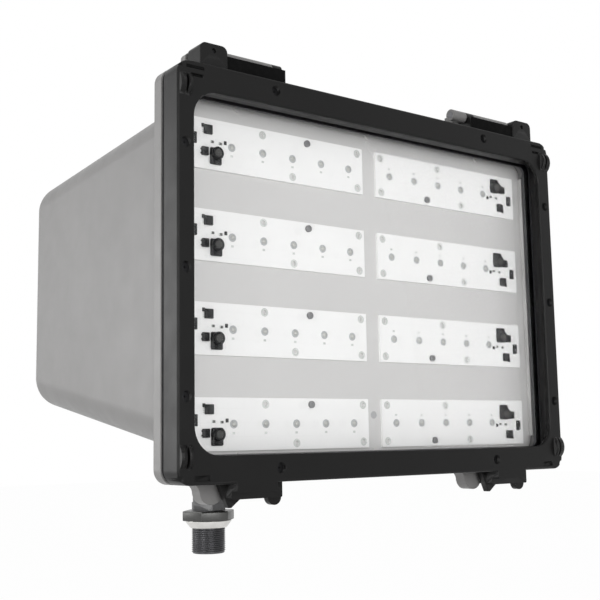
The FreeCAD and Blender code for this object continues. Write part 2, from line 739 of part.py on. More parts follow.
def make_housing():
    outer = tapered_body("shell_outer", FLANGE_REAR - SINK_IN, BODY_FRONT, S.back_depth, BODY_BACK,
                         S.back_round)
    cavity_corner = S.body_corner - S.wall
    cavity = tapered_body("shell_cavity", PLATE_REAR, inset(BODY_FRONT, S.wall, cavity_corner),
                          S.back_depth - S.wall, inset(BODY_BACK, S.wall, cavity_corner),
                          S.back_round - S.wall)
    flange = plate("shell_flange", FLANGE_FRONT, FLANGE_REAR, DOOR_OUTLINE)
    round_edges(flange, "shell_flange_round", FLANGE_REAR, S.edge_round)
    solids = [outer, flange]
    holes = [cavity, plate("shell_mouth", FLANGE_FRONT - OVERSHOOT, PLATE_REAR, MOUTH)]
    pad = yoke_footprint("shell_pad", PAD_BOTTOM, S.pad_height)
    solids.append(pad)
    holes.append(cylinder("shell_wire_hole", "Z", YOKE_X, BASE_Y, PAD_BOTTOM - OVERSHOOT,
                          S.bushing_radius, S.pad_height + S.wall * 2))
    holes += yoke_holes("shell_pad_hole", PAD_BOTTOM, S.yoke_screw_grip, S.thread_play)
    for i, (x, z) in enumerate(plate_screw_places()):
        holes.append(cylinder(f"shell_plate_hole_{i}", "Y", x, PLATE_FRONT, z,
                              S.plate_screw_radius + S.thread_play, S.plate_screw_length))
    for word, side in SIDES.items():
        tab_rear = FLANGE_REAR - S.wall
        solids.append(plate(f"shell_tab_{word}", FLANGE_FRONT, tab_rear,
                            tower_outline(side, S.tower_top - OVERSHOOT)))
        for kind, (start, end) in barrel_stretches(side).items():
            left, right = mirrored_range(side, start, end)
            barrel = f"{word}_{kind}"
            solids.append(cylinder(f"shell_barrel_{barrel}", "X", left, HINGE_Y, HINGE_Z,
                                   S.barrel_radius, right - left))
            if kind == "stop":
                left, right = mirrored_range(side, start + S.hinge_stop_overhang, end)
            web_bottom = HINGE_Z - S.barrel_web / 2
            solids.append(box(f"shell_web_{barrel}", left, HINGE_Y, web_bottom, right - left,
                              tab_rear - HINGE_Y, S.barrel_web))
            root_bottom = S.door_top - S.door_corner
            solids.append(box(f"shell_root_{barrel}", left, FLANGE_FRONT, root_bottom, right - left,
                              tab_rear - FLANGE_FRONT, web_bottom + S.barrel_web - root_bottom))
            left, right = mirrored_range(side, start - OVERSHOOT, end + OVERSHOOT)
            holes.append(cylinder(f"shell_pin_hole_{barrel}", "X", left, HINGE_Y, HINGE_Z,
                                  S.pin_radius + S.pin_play, right - left))
        latch_x = LATCH_SIDE * side
        ear_left = latch_x - S.ear_offset
        solids.append(plate(f"shell_ear_{word}", FLANGE_FRONT, FLANGE_REAR,
                            latch_lug_outline(ear_left, S.ear_width, S.ear_drop)))
        solids.append(ear_fillet(word, ear_left))
        bolt_ear = outline(latch_x - S.bolt_ear_width / 2, latch_x + S.bolt_ear_width / 2,
                           -S.door_bottom - S.bolt_ear_drop, S.bolt_ear_drop - S.door_bottom, SINK_IN)
        solids.append(plate(f"shell_bolt_ear_{word}", FLANGE_FRONT, FLANGE_REAR, bolt_ear))
        holes.append(cylinder(f"shell_latch_hole_{word}", "Y", latch_x, FLANGE_FRONT - OVERSHOOT, LATCH_Z,
                              S.latch_bolt_radius + S.pin_play, S.flange_depth + OVERSHOOT * 2))
    node(cut("shell", fuse("shell_solid", *solids), *holes), "housing_shell")


# Gear plate, boards and what is soldered and fastened on them

def make_gear_plate():
    shape = inset(MOUTH, S.plate_play)
    left, right, bottom, top, corner = shape
    lip_front = FLANGE_FRONT + S.plate_lip_gap
    lips = [box(f"gear_lip_{word}", lip_left, lip_front, bottom + corner, S.plate_lip, PLATE_REAR - lip_front,
                top - bottom - corner * 2)
            for word, lip_left in (("left", left), ("right", right - S.plate_lip))]
    sheet_metal = fuse("gear_sheet", plate("gear", PLATE_FRONT, PLATE_REAR, shape), *lips)
    holes = [cylinder(f"gear_hole_{i}", "Y", x, PLATE_FRONT - OVERSHOOT, z,
                      S.plate_screw_radius + S.hole_clearance, S.plate_thickness + OVERSHOOT * 2)
             for i, (x, z) in enumerate(plate_screw_places())]
    board_spots = [spot for word, side, middle in boards() for spot in board_screw_places(side, middle)]
    holes += [cylinder(f"gear_board_hole_{i}", "Y", x, PLATE_FRONT - OVERSHOOT, z,
                       S.board_screw_radius + S.thread_play, S.plate_thickness + OVERSHOOT * 2)
              for i, (x, z) in enumerate(board_spots)]
    ground = cylinder("gear_ground_hole", "Y", ZERO, PLATE_FRONT - OVERSHOOT, -S.ground_drop,
                      S.ground_radius + S.thread_play, S.plate_thickness + OVERSHOOT * 2)
    node(cut("gear_cut", sheet_metal, *holes, ground), "gear_plate")
    head_height = S.board_screw_head_height
    screws = [screw(f"plate_screw_{i}", "Y", (x, PLATE_FRONT - head_height, z), S.plate_screw_head,
                    head_height, S.plate_screw_radius, head_height + S.plate_screw_length)
              for i, (x, z) in enumerate(plate_screw_places())]
    node(group("plate_screw_group", screws), "plate_screws")


def boards():
    """Name, side and height of every board's middle; the right boards are turned half round."""
    for word, side in SIDES.items():
        for row in range(ROWS):
            yield f"{word}_{row + 1}", side, S.row_pitch * ((ROWS - 1) / 2 - row)


def on_board(side, middle, outward, rise):
    """A place on a board: distance from the lamp's middle, and height on a left board."""
    return as_size(outward) * side, middle - as_size(rise) * side


def board_screw_places(side, middle):
    yield on_board(side, middle, S.first_led + LED_PITCH * 1.5, S.board_hole_rise)


def board_hole_places(side, middle):
    """Spare fixing holes, which stay empty."""
    near = S.board_middle_gap + S.spare_hole_inset
    yield on_board(side, middle, near, S.board_hole_rise)
    yield on_board(side, middle, near, -S.board_hole_rise)
    yield on_board(side, middle, S.first_led + LED_PITCH * 3, S.board_hole_rise)
    yield on_board(side, middle, S.first_led + LED_PITCH * 2, -S.board_hole_rise)


def board_part(name, board):
    """A rectangular component that stands on a board."""
    word, side, middle = board
    end_gap, rise, width, height, thickness = (getattr(S, f"{name}_{size}") for size in BOARD_PART_SIZES)
    x, z = on_board(side, middle, BOARD_END - end_gap, rise)
    return box(f"{name}_{word}", x - width / 2, BOARD_FRONT - thickness, z - height / 2,
               width, thickness, height)


def make_board(board):
    word, side, middle = board
    left, right = mirrored_range(side, S.board_middle_gap, BOARD_END)
    blank = box(f"board_{word}_blank", left, BOARD_FRONT, middle - S.board_height / 2,
                right - left, S.board_thickness, S.board_height)
    spots = [*board_hole_places(side, middle), *board_screw_places(side, middle)]
    holes = [cylinder(f"board_{word}_hole_{i}", "Y", x, BOARD_FRONT - OVERSHOOT, z,
                      S.board_screw_radius + S.hole_clearance, S.board_thickness + OVERSHOOT * 2)
             for i, (x, z) in enumerate(spots)]
    node(cut(f"board_{word}", blank, *holes), f"led_board_{word}")


def board_emitters(board):
    word, side, middle = board
    return [cone(f"emitter_{word}_{i}", "Y", (S.first_led + LED_PITCH * i) * side, ZERO, middle,
                 S.led_front_radius, S.led_radius, S.led_height) for i in range(LEDS_PER_BOARD)]


def board_screws(board):
    word, side, middle = board
    head = S.board_screw_head_height
    return [screw(f"board_screw_{word}_{i}", "Y", (x, BOARD_FRONT - head, z), S.board_screw_head, head,
                  S.board_screw_radius, head + S.board_thickness + S.plate_thickness)
            for i, (x, z) in enumerate(board_screw_places(side, middle))]


def make_boards():
    every = list(boards())
    for board in every:
        make_board(board)
    node(group("emitter_group", [one for board in every for one in board_emitters(board)]), "led_emitters")
    node(group("board_screw_group", [one for board in every for one in board_screws(board)]), "board_screws")
    for family in ("driver", "capacitor", "rectifier", "resistor"):
        names = [name for name in BOARD_PARTS if name.startswith(family)]
        parts = [board_part(name, board) for board in every for name in names]
        node(group(f"{family}_group", parts), f"board_{family}s")


def make_heat_sinks():
    outer = S.door_half_width - S.body_side_step - S.wall - S.sink_side_gap
    for word, side in SIDES.items():
        left, right = mirrored_range(side, S.sink_middle_gap, outer)
        pieces = [box(f"sink_{word}_base", left, PLATE_REAR, -S.sink_bottom, right - left,
                      S.sink_base, S.sink_height)]
        pitch = (right - left - S.fin_thickness) / (FINS - 1)
        for i in range(FINS):
            pieces.append(box(f"sink_{word}_fin_{i}", left + pitch * i, PLATE_REAR, -S.sink_bottom,
                              S.fin_thickness, S.sink_base + S.fin_height, S.sink_height))
        node(fuse(f"sink_{word}", *pieces), f"heat_sink_{word}")


def lead_places(i):
    """The corners of one supply lead, from the bushing to the terminal block."""
    step = S.lead_step * (i - (LEADS - 1) / 2)
    x = YOKE_X + step
    run_z = S.block_height / 2 - S.block_drop
    end_x = S.block_width / 4 * (i - (LEADS - 1) / 2)
    block_back = PLATE_REAR + S.block_depth
    return [(x, BASE_Y, PAD_BOTTOM + S.bushing_length), (x, BASE_Y, run_z),
            (end_x, block_back + S.lead_bend, run_z), (end_x, block_back, run_z)]


def bent_tube(places, radius, bend):
    """A round wire along straight runs joined by arcs of one radius."""
    points = [FreeCAD.Vector(*(size.value for size in corner)) for corner in places]
    edges = []
    start = points[0]
    for before, corner, after in zip(points, points[1:], points[2:]):
        way_in = (corner - before).normalize()
        way_out = (after - corner).normalize()
        reach = bend * math.tan(way_in.getAngle(way_out) / 2)
        arc_start = corner - way_in * reach
        arc_end = corner + way_out * reach
        towards = (way_out - way_in).normalize()
        middle = corner + towards * (math.hypot(reach, bend) - bend)
        edges.append(Part.LineSegment(start, arc_start).toShape())
        edges.append(Part.Arc(arc_start, middle, arc_end).toShape())
        start = arc_end
    edges.append(Part.LineSegment(start, points[-1]).toShape())
    path = Part.Wire(edges)
    section = Part.Wire([Part.makeCircle(radius, points[0], points[1] - points[0])])
    wire = path.makePipeShell([section], True, False)
    expected = math.pi * radius ** 2 * path.Length
    if abs(wire.Volume - expected) > expected * 0.01:
        raise RuntimeError("a lead's volume is not its section times its length")
    return wire


def make_electrics():
    half = S.block_width / 2
    block = box("block", -half, PLATE_REAR, -S.block_drop, S.block_width, S.block_depth, S.block_height)
    wells = [cylinder(f"block_well_{i}", "Z", S.block_width / 4 * (i - 1), PLATE_REAR + S.block_depth / 2,
                      S.block_height / 2 - S.block_drop, S.ground_radius, S.block_height)
             for i in range(LEADS)]
    node(cut("block_cut", block, *wells), "terminal_block")
    surge = box("surge", -S.surge_width / 2, PLATE_REAR, S.surge_rise, S.surge_width, S.surge_depth,
                S.surge_height)
    node(surge, "surge_protector")
    ground_head = cylinder("ground_head", "Y", ZERO, PLATE_REAR, -S.ground_drop, S.ground_head_radius,
                           S.ground_length - S.plate_thickness)
    ground_shank = cylinder("ground_shank", "Y", ZERO, PLATE_FRONT, -S.ground_drop, S.ground_radius,
                            S.ground_length)
    node(fuse("ground", ground_head, ground_shank), "ground_screw")
    bushing = tube("bushing", "Z", YOKE_X, BASE_Y, PAD_BOTTOM, S.bushing_radius - S.hole_clearance,
                   S.bushing_bore, S.bushing_length)
    node(bushing, "wire_bushing")
    leads = doc.addObject("Part::Feature", "leads")
    leads.Shape = Part.makeCompound([bent_tube(lead_places(i), S.lead_radius.value, S.lead_bend.value)
                                     for i in range(LEADS)])
    node(leads, "supply_leads")


# Door: casting, lens, clamp, gasket, hinge pins

OPENING = outline(S.side_member - S.door_half_width, S.door_half_width - S.side_member,
                  S.bottom_member - S.door_bottom, S.door_top - S.top_member, S.opening_corner)
LIP = inset(OPENING, ZERO, S.lip_corner)
LENS = inset(OPENING, -LENS_OVERLAP)
SKIRT_INSIDE = inset(DOOR_OUTLINE, S.skirt_wall, S.door_corner - S.skirt_wall)
CLAMP = inset(SKIRT_INSIDE, S.lens_clearance)


def door_screw_places():
    for side in SIDES.values():
        for row in (-1, 0, 1):
            yield SCREW_SIDE * side, S.side_screw_middle + S.side_screw_pitch * row
        yield (S.door_half_width - S.end_screw_inset) * side, S.door_top - S.top_screw_gap
        yield (S.door_half_width - S.end_screw_inset) * side, S.bottom_member / 2 - S.door_bottom


def corner_span(side, inset_from_side, width):
    """Left end and width of a feature given by its distance from the door's side."""
    far = S.door_half_width - inset_from_side
    left, right = mirrored_range(side, far - width, far)
    return left, right - left


def corner_level(level, distance):
    """Height of a place given by its distance from the door's top or bottom edge."""
    return S.door_top - distance if level == "top" else distance - S.door_bottom


def corner_pad(word, side, level, distance):
    """A round-ended pad on the door's front beside one corner, and the slit that splits it."""
    name = f"{word}_{level}"
    middle = corner_level(level, distance)
    left, width = corner_span(side, S.corner_pad_inset, S.corner_pad_width)
    pad_front = DOOR_FRONT - S.corner_pad_rise
    pad = cylinder(f"door_pad_{name}", "X", left, pad_front + S.corner_pad_radius, middle,
                   S.corner_pad_radius, width)
    slit_left, slit_width = corner_span(side, S.corner_slit_inset, S.corner_slit_width)
    slit = box(f"door_slit_{name}", slit_left, pad_front - OVERSHOOT, middle - S.corner_pad_radius, slit_width,
               S.corner_pad_rise - S.corner_slit_floor + OVERSHOOT, S.corner_pad_radius * 2)
    return pad, slit


def corner_grooves(word, side):
    for groove in CORNER_GROOVES:
        distance, gap, width, height = (getattr(S, f"{groove}_{size}") for size in CORNER_GROOVE_SIZES)
        level = groove.split("_")[0]
        lowest = corner_level(level, gap + height) if level == "top" else corner_level(level, gap)
        left, length = corner_span(side, distance, width)
        yield box(f"door_groove_{groove}_{word}", left, DOOR_FRONT - OVERSHOOT, lowest, length,
                  S.corner_groove_depth + OVERSHOOT, height)


def make_door_frame():
    face = plate("door_face", DOOR_FRONT, DOOR_REAR, DOOR_OUTLINE, LIP)
    round_edges(face, "door_face_round", DOOR_FRONT, S.edge_round)
    solids = [face]
    holes = [plate("door_pocket", LENS_SEAT, DOOR_REAR + OVERSHOOT, SKIRT_INSIDE),
             plate("door_window", DOOR_FRONT + S.lip_thickness, LENS_SEAT + OVERSHOOT, OPENING)]
    for word, side in SIDES.items():
        solids += make_hinge_lugs(word, side)
        solids += make_latch_bar(word, side)
        for level, distance in (("top", S.corner_pad_drop), ("bottom", S.corner_pad_lift)):
            pad, slit = corner_pad(word, side, level, distance)
            solids.append(pad)
            holes.append(slit)
        holes += corner_grooves(word, side)
        pin_left, pin_length = pin_span(side)
        holes.append(cylinder(f"door_pin_hole_{word}", "X", pin_left, HINGE_Y, HINGE_Z,
                              S.pin_radius, pin_length))
        tower_x = (TOWER_INNER + S.tower_width / 2) * side
        tower_front = DOOR_FRONT + S.tower_setback
        holes.append(cylinder(f"door_set_hole_{word}", "Y", tower_x, tower_front - OVERSHOOT, HINGE_Z,
                              S.set_screw_radius, HINGE_Y - tower_front + OVERSHOOT))
        latch_front = DOOR_REAR - S.latch_engagement
        holes.append(cylinder(f"door_latch_hole_{word}", "Y", LATCH_SIDE * side, latch_front, LATCH_Z,
                              S.latch_bolt_radius + S.latch_bolt_play, S.latch_engagement + OVERSHOOT))
    for i, (x, z) in enumerate(door_screw_places()):
        holes.append(cylinder(f"door_screw_hole_{i}", "Y", x, DOOR_FRONT - OVERSHOOT, z,
                              S.door_screw_radius + S.hole_clearance, S.door_depth))
        holes.append(cylinder(f"door_screw_seat_{i}", "Y", x, DOOR_FRONT - OVERSHOOT, z,
                              S.door_screw_head + S.hole_clearance, S.door_screw_sink + OVERSHOOT))
    node(cut("door", fuse("door_solid", *solids), *holes), "door_frame")


def make_hinge_lugs(word, side):
    tower = plate(f"door_tower_{word}", DOOR_FRONT + S.tower_setback, DOOR_REAR,
                  tower_outline(side, S.tower_top))
    left, right = mirrored_range(side, HINGE_INNER, HINGE_INNER + S.hinge_lug_width)
    guard_bottom = S.door_top - S.door_corner
    guard_height = S.tower_top - S.guard_top_gap - guard_bottom
    lug_front = DOOR_FRONT + S.hinge_lug_setback
    lug = box(f"door_lug_{word}", left, lug_front, guard_bottom, S.hinge_lug_width, DOOR_REAR - lug_front,
              guard_height)
    eye = cylinder(f"door_eye_{word}", "X", left, HINGE_Y, HINGE_Z, S.barrel_radius, S.hinge_lug_width)
    guard_left, guard_right = mirrored_range(side, HINGE_INNER + SINK_IN, TOWER_INNER + SINK_IN)
    guard = box(f"door_guard_{word}", guard_left, HINGE_Y - S.barrel_radius - S.guard_gap - S.guard_thickness,
                guard_bottom, guard_right - guard_left, S.guard_thickness, guard_height)
    return [tower, lug, eye, guard]


def make_latch_bar(word, side):
    latch_x = LATCH_SIDE * side
    left = latch_x - S.latch_bar_left
    right = latch_x + S.latch_bar_right
    root = S.bottom_member / 2 - S.door_bottom
    apron_shape = outline(left, latch_x + S.latch_apron_right, -S.door_bottom - S.apron_drop, root, S.edge_round)
    bar_shape = outline(left, right, -S.door_bottom - S.bar_drop, root, S.edge_round)
    lug_front = DOOR_FRONT + S.latch_lug_setback
    near_tip = (latch_x - S.near_lug_tip_left, latch_x - S.near_lug_tip_right)
    near_root = (latch_x - S.near_lug_root_left, latch_x + S.near_lug_root_right)
    far_lug_left = latch_x + S.far_lug_right - S.far_lug_width
    far_lug = latch_lug_outline(far_lug_left, S.far_lug_width, S.latch_lug_drop)
    return [
        plate(f"door_apron_{word}", DOOR_FRONT, DOOR_REAR, apron_shape),
        plate(f"door_bar_{word}", DOOR_FRONT + S.bar_setback, DOOR_REAR, bar_shape),
        wedge(f"door_near_lug_{word}", lug_front, DOOR_REAR, -S.door_bottom - S.near_lug_drop, near_tip,
              -S.door_bottom + SINK_IN, near_root),
        plate(f"door_far_lug_{word}", lug_front, DOOR_REAR, far_lug),
    ]


def pin_span(side):
    """Where a hinge pin starts along X, and its length."""
    near = HINGE_INNER
    if side > 0:
        near = near - S.hinge_side_play - S.hinge_stop_length
    far = TOWER_INNER + S.tower_width - S.pin_end_inset
    left, right = mirrored_range(side, near, far)
    return left, right - left


def make_lens():
    seal_opening = inset(OPENING, -S.lens_clearance)
    node(plate("lens_seal", LENS_SEAT, GLASS_FRONT, LENS, seal_opening), "lens_gasket")
    node(plate("lens", GLASS_FRONT, CLAMP_FRONT, LENS), "lens_glass")
    clamp = plate("clamp", CLAMP_FRONT, DOOR_REAR, CLAMP, inset(OPENING, S.clamp_inset))
    holes = [cylinder(f"clamp_hole_{i}", "Y", x, CLAMP_FRONT - OVERSHOOT, z,
                      S.door_screw_radius + S.thread_play, S.clamp_thickness + OVERSHOOT * 2)
             for i, (x, z) in enumerate(door_screw_places())]
    node(cut("clamp_cut", clamp, *holes), "lens_clamp")
    head_front = DOOR_FRONT + S.door_screw_sink - S.door_screw_head_height
    screws = [screw(f"door_screw_{i}", "Y", (x, head_front, z), S.door_screw_head,
                    S.door_screw_head_height, S.door_screw_radius, DOOR_REAR - head_front)
              for i, (x, z) in enumerate(door_screw_places())]
    node(group("door_screw_group", screws), "door_screws")
    seal = inset(DOOR_OUTLINE, S.gasket_inset, S.door_corner - S.gasket_inset)
    seal_inside = inset(seal, S.gasket_width, S.door_corner - S.gasket_inset - S.gasket_width)
    node(plate("seal", DOOR_REAR, FLANGE_FRONT - S.gasket_play, seal, seal_inside), "door_gasket")


def make_hinge_pins():
    set_screws = []
    for word, side in SIDES.items():
        left, length = pin_span(side)
        node(cylinder(f"pin_{word}", "X", left, HINGE_Y, HINGE_Z, S.pin_radius, length), f"hinge_pin_{word}")
        set_front = DOOR_FRONT + S.tower_setback + S.set_screw_sink
        set_screws.append(cylinder(f"set_screw_{word}", "Y", (TOWER_INNER + S.tower_width / 2) * side,
                                   set_front, HINGE_Z, S.set_screw_radius,
                                   HINGE_Y - S.pin_radius - set_front))
    node(group("set_screw_group", set_screws), "hinge_set_screws")


def make_latches():
    washer_rear = FLANGE_REAR + S.latch_washer_thickness
    tip = DOOR_REAR - S.latch_engagement + OVERSHOOT
    for word, side in SIDES.items():
        x = LATCH_SIDE * side
        head = hexagon(f"latch_{word}_head", "Y", x, washer_rear, LATCH_Z, S.latch_head_corner,
                       S.latch_head_height, spin=30)
        shank = cylinder(f"latch_{word}_shank", "Y", x, tip, LATCH_Z, S.latch_bolt_radius,
                         washer_rear - tip)
        node(fuse(f"latch_{word}", head, shank), f"latch_bolt_{word}")
        node(tube(f"latch_{word}_ring", "Y", x, FLANGE_REAR, LATCH_Z, S.latch_washer_radius,
                  S.latch_bolt_radius + S.pin_play, S.latch_washer_thickness), f"latch_washer_{word}")


def check_and_write():
    """Stops at a failed object or a bad shape, then writes one file for each piece."""
    doc.recompute()
    for thing in doc.Objects:
        if "Invalid" in thing.State or "Error" in thing.State:
            raise RuntimeError(f"{thing.Name} failed: {thing.State}")
        if not thing.isDerivedFrom("PartDesign::Body"):
            continue
        if len(thing.Shape.Solids) != 1 or not thing.Shape.isValid():
            raise RuntimeError(f"{thing.Name} is not one valid solid")
    for piece in NODES:
        if piece.Shape.isNull() or not piece.Shape.isValid():
            raise RuntimeError(f"{piece.Label} has no valid shape")
        several = piece.isDerivedFrom("Part::Compound") or piece.Label == "supply_leads"
        if len(piece.Shape.Solids) != 1 and not several:
            raise RuntimeError(f"{piece.Label} has come apart")
    os.makedirs("parts", exist_ok=True)
    for piece in NODES:
        piece.Shape.exportStep(f"parts/{piece.Label}.step")
        print(f"{piece.Label}: {len(piece.Shape.Solids)} solids, {piece.Shape.Volume:.1f} cubic mm")


make_knuckle_arm()
make_locknut()
make_swivel_clamp()
make_yoke()
make_housing()
make_gear_plate()
make_boards()
make_heat_sinks()
make_electrics()
make_door_frame()
make_lens()
make_hinge_pins()
make_latches()
check_and_write()
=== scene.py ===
import json
import math

import bmesh
import bpy
from mathutils import Matrix, Vector


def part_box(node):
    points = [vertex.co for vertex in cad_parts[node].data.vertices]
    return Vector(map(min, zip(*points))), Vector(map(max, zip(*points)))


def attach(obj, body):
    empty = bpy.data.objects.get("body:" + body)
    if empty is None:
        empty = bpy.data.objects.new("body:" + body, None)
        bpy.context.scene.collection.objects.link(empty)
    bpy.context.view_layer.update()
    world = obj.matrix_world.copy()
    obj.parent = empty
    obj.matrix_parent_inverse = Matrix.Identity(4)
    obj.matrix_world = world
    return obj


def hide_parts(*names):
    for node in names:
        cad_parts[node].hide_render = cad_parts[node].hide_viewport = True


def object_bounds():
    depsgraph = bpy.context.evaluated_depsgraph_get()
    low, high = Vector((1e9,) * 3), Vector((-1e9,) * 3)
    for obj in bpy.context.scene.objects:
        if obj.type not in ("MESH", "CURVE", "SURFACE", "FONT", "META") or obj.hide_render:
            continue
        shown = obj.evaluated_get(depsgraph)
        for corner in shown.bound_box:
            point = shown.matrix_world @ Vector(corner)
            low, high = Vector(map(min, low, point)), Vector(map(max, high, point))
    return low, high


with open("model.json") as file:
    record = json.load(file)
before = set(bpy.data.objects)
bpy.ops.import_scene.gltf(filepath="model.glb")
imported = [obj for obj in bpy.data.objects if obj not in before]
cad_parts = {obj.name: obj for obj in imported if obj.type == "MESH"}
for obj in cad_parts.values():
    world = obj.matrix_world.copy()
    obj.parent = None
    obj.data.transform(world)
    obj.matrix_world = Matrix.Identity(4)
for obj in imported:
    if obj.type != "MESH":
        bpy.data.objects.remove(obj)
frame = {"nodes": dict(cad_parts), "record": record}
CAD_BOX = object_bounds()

bl_info = {
    "name": "LED flood light",
    "version": (1, 0, 0),
    "blender": (4, 5, 0),
    "location": "View3D > Sidebar > Flood light",
    "description": "Dresses the packed flood light with finishes, threads, diodes and studio light",
    "category": "Object",
}

SLOTS = {item["node"]: item["material_slot"] for item in frame["record"]["subparts"]}
BODIES = frame["record"]["behaviour"]["bodies"]
BODY_OF = {node: body for body, nodes in BODIES.items() for node in nodes}
BOARDS = [node for node, slot in SLOTS.items() if slot == "board_white"]
FRONT = Vector((0, -1, 0))
TURNED = Matrix.Rotation(math.pi, 4, "Y")
MM = 0.001
ORIGIN = (0, 0, 0)
UP = (0, 0, 1)
WELD = 1e-6  # distance at which the corners of a CAD mesh are merged
FLAT = 0.99996  # least cosine between the normals of one flat region
CROSS_RISE = 0.006 * MM  # how far the cross on a screw stands out
THREAD_PAST_NUT = 0.1 * MM  # how far the nipple's thread shows above the locknut
MIX_INPUTS = (0, 6, 7)  # factor and two colours of a Mix node
MIX_COLOUR = 2  # the Mix node's output for colours


class FloodLightColours(bpy.types.PropertyGroup):
    """Colours of the finishes, as they look under plain light."""

    grey_coat: bpy.props.FloatVectorProperty(
        name="Housing coat", description="Powder coat of the housing casting",
        subtype="COLOR", default=(0.17, 0.167, 0.165), min=0, max=1)
    black_coat: bpy.props.FloatVectorProperty(
        name="Door coat", description="Powder coat of the door casting",
        subtype="COLOR", default=(0.006, 0.0059, 0.0059), min=0, max=1)
    knuckle_coat: bpy.props.FloatVectorProperty(
        name="Knuckle coat", description="Dark coat of the knuckle",
        subtype="COLOR", default=(0.07, 0.07, 0.072), min=0, max=1)
    zinc: bpy.props.FloatVectorProperty(
        name="Zinc plate", description="Dull plating of the locknut, the pivot nut and its washer",
        subtype="COLOR", default=(0.08, 0.08, 0.078), min=0, max=1)
    plate_metal: bpy.props.FloatVectorProperty(
        name="Gear plate", description="Satin coat of the plate behind the boards",
        subtype="COLOR", default=(0.6, 0.595, 0.59), min=0, max=1)
    board_white: bpy.props.FloatVectorProperty(
        name="Board", description="White solder mask of the diode boards",
        subtype="COLOR", default=(0.9, 0.9, 0.895), min=0, max=1)
    component_black: bpy.props.FloatVectorProperty(
        name="Components", description="Moulded bodies of the parts on the boards",
        subtype="COLOR", default=(0.01, 0.0105, 0.0115), min=0, max=1)


class FloodLightSizes(bpy.types.PropertyGroup):
    """Sizes of the details that are finer than the solids."""

    edge_round: bpy.props.FloatProperty(
        name="Edge round", description="Radius that the coats leave on the castings' edges",
        unit="LENGTH", default=0.0011, min=0)
    thread_pitch: bpy.props.FloatProperty(
        name="Thread pitch", description="Pitch of the nipple's thread, 16 to the inch",
        unit="LENGTH", default=0.0015875, min=0.0005)
    thread_depth: bpy.props.FloatProperty(
        name="Thread depth", description="Height of the nipple's thread from root to crest",
        unit="LENGTH", default=0.00076, min=0.0001)
    thread_radius: bpy.props.FloatProperty(
        name="Thread radius", description="Outside radius of the nipple's thread",
        unit="LENGTH", default=0.01415, min=0.001)
    nut_corner: bpy.props.FloatProperty(
        name="Nut corner", description="Distance from the locknut's axis to its corners",
        unit="LENGTH", default=0.0225, min=0.001)
    nut_turn: bpy.props.FloatProperty(
        name="Nut turn", description="Angle between the X axis and the locknut's nearest corner",
        subtype="ANGLE", default=math.radians(-15.8))
    nut_chamfer: bpy.props.FloatProperty(
        name="Nut chamfer", description="Chamfer on the locknut's corners",
        unit="LENGTH", default=0.0011, min=0)
    pad_ring: bpy.props.FloatProperty(
        name="Pad ring", description="Width of the bare ring round each hole of a board",
        unit="LENGTH", default=0.0011, min=0)


class FloodLightStage(bpy.types.PropertyGroup):
    """Camera and light."""

    lens: bpy.props.FloatProperty(
        name="Lens", description="Focal length of the camera on a 36 mm sensor",
        subtype="DISTANCE_CAMERA", default=60.894, min=1)
    key_power: bpy.props.FloatProperty(
        name="Key light", description="Power of the large soft light in front",
        subtype="POWER", default=22.0, min=0)
    side_power: bpy.props.FloatProperty(
        name="Side light", description="Power of the soft light at the left",
        subtype="POWER", default=6.0, min=0)
    rim_power: bpy.props.FloatProperty(
        name="Rim light", description="Power of the soft light at the back left",
        subtype="POWER", default=9.0, min=0)
    sky: bpy.props.FloatProperty(
        name="Sky", description="Strength of the even light from all round",
        subtype="FACTOR", default=0.36, min=0, max=1)


# Finishes

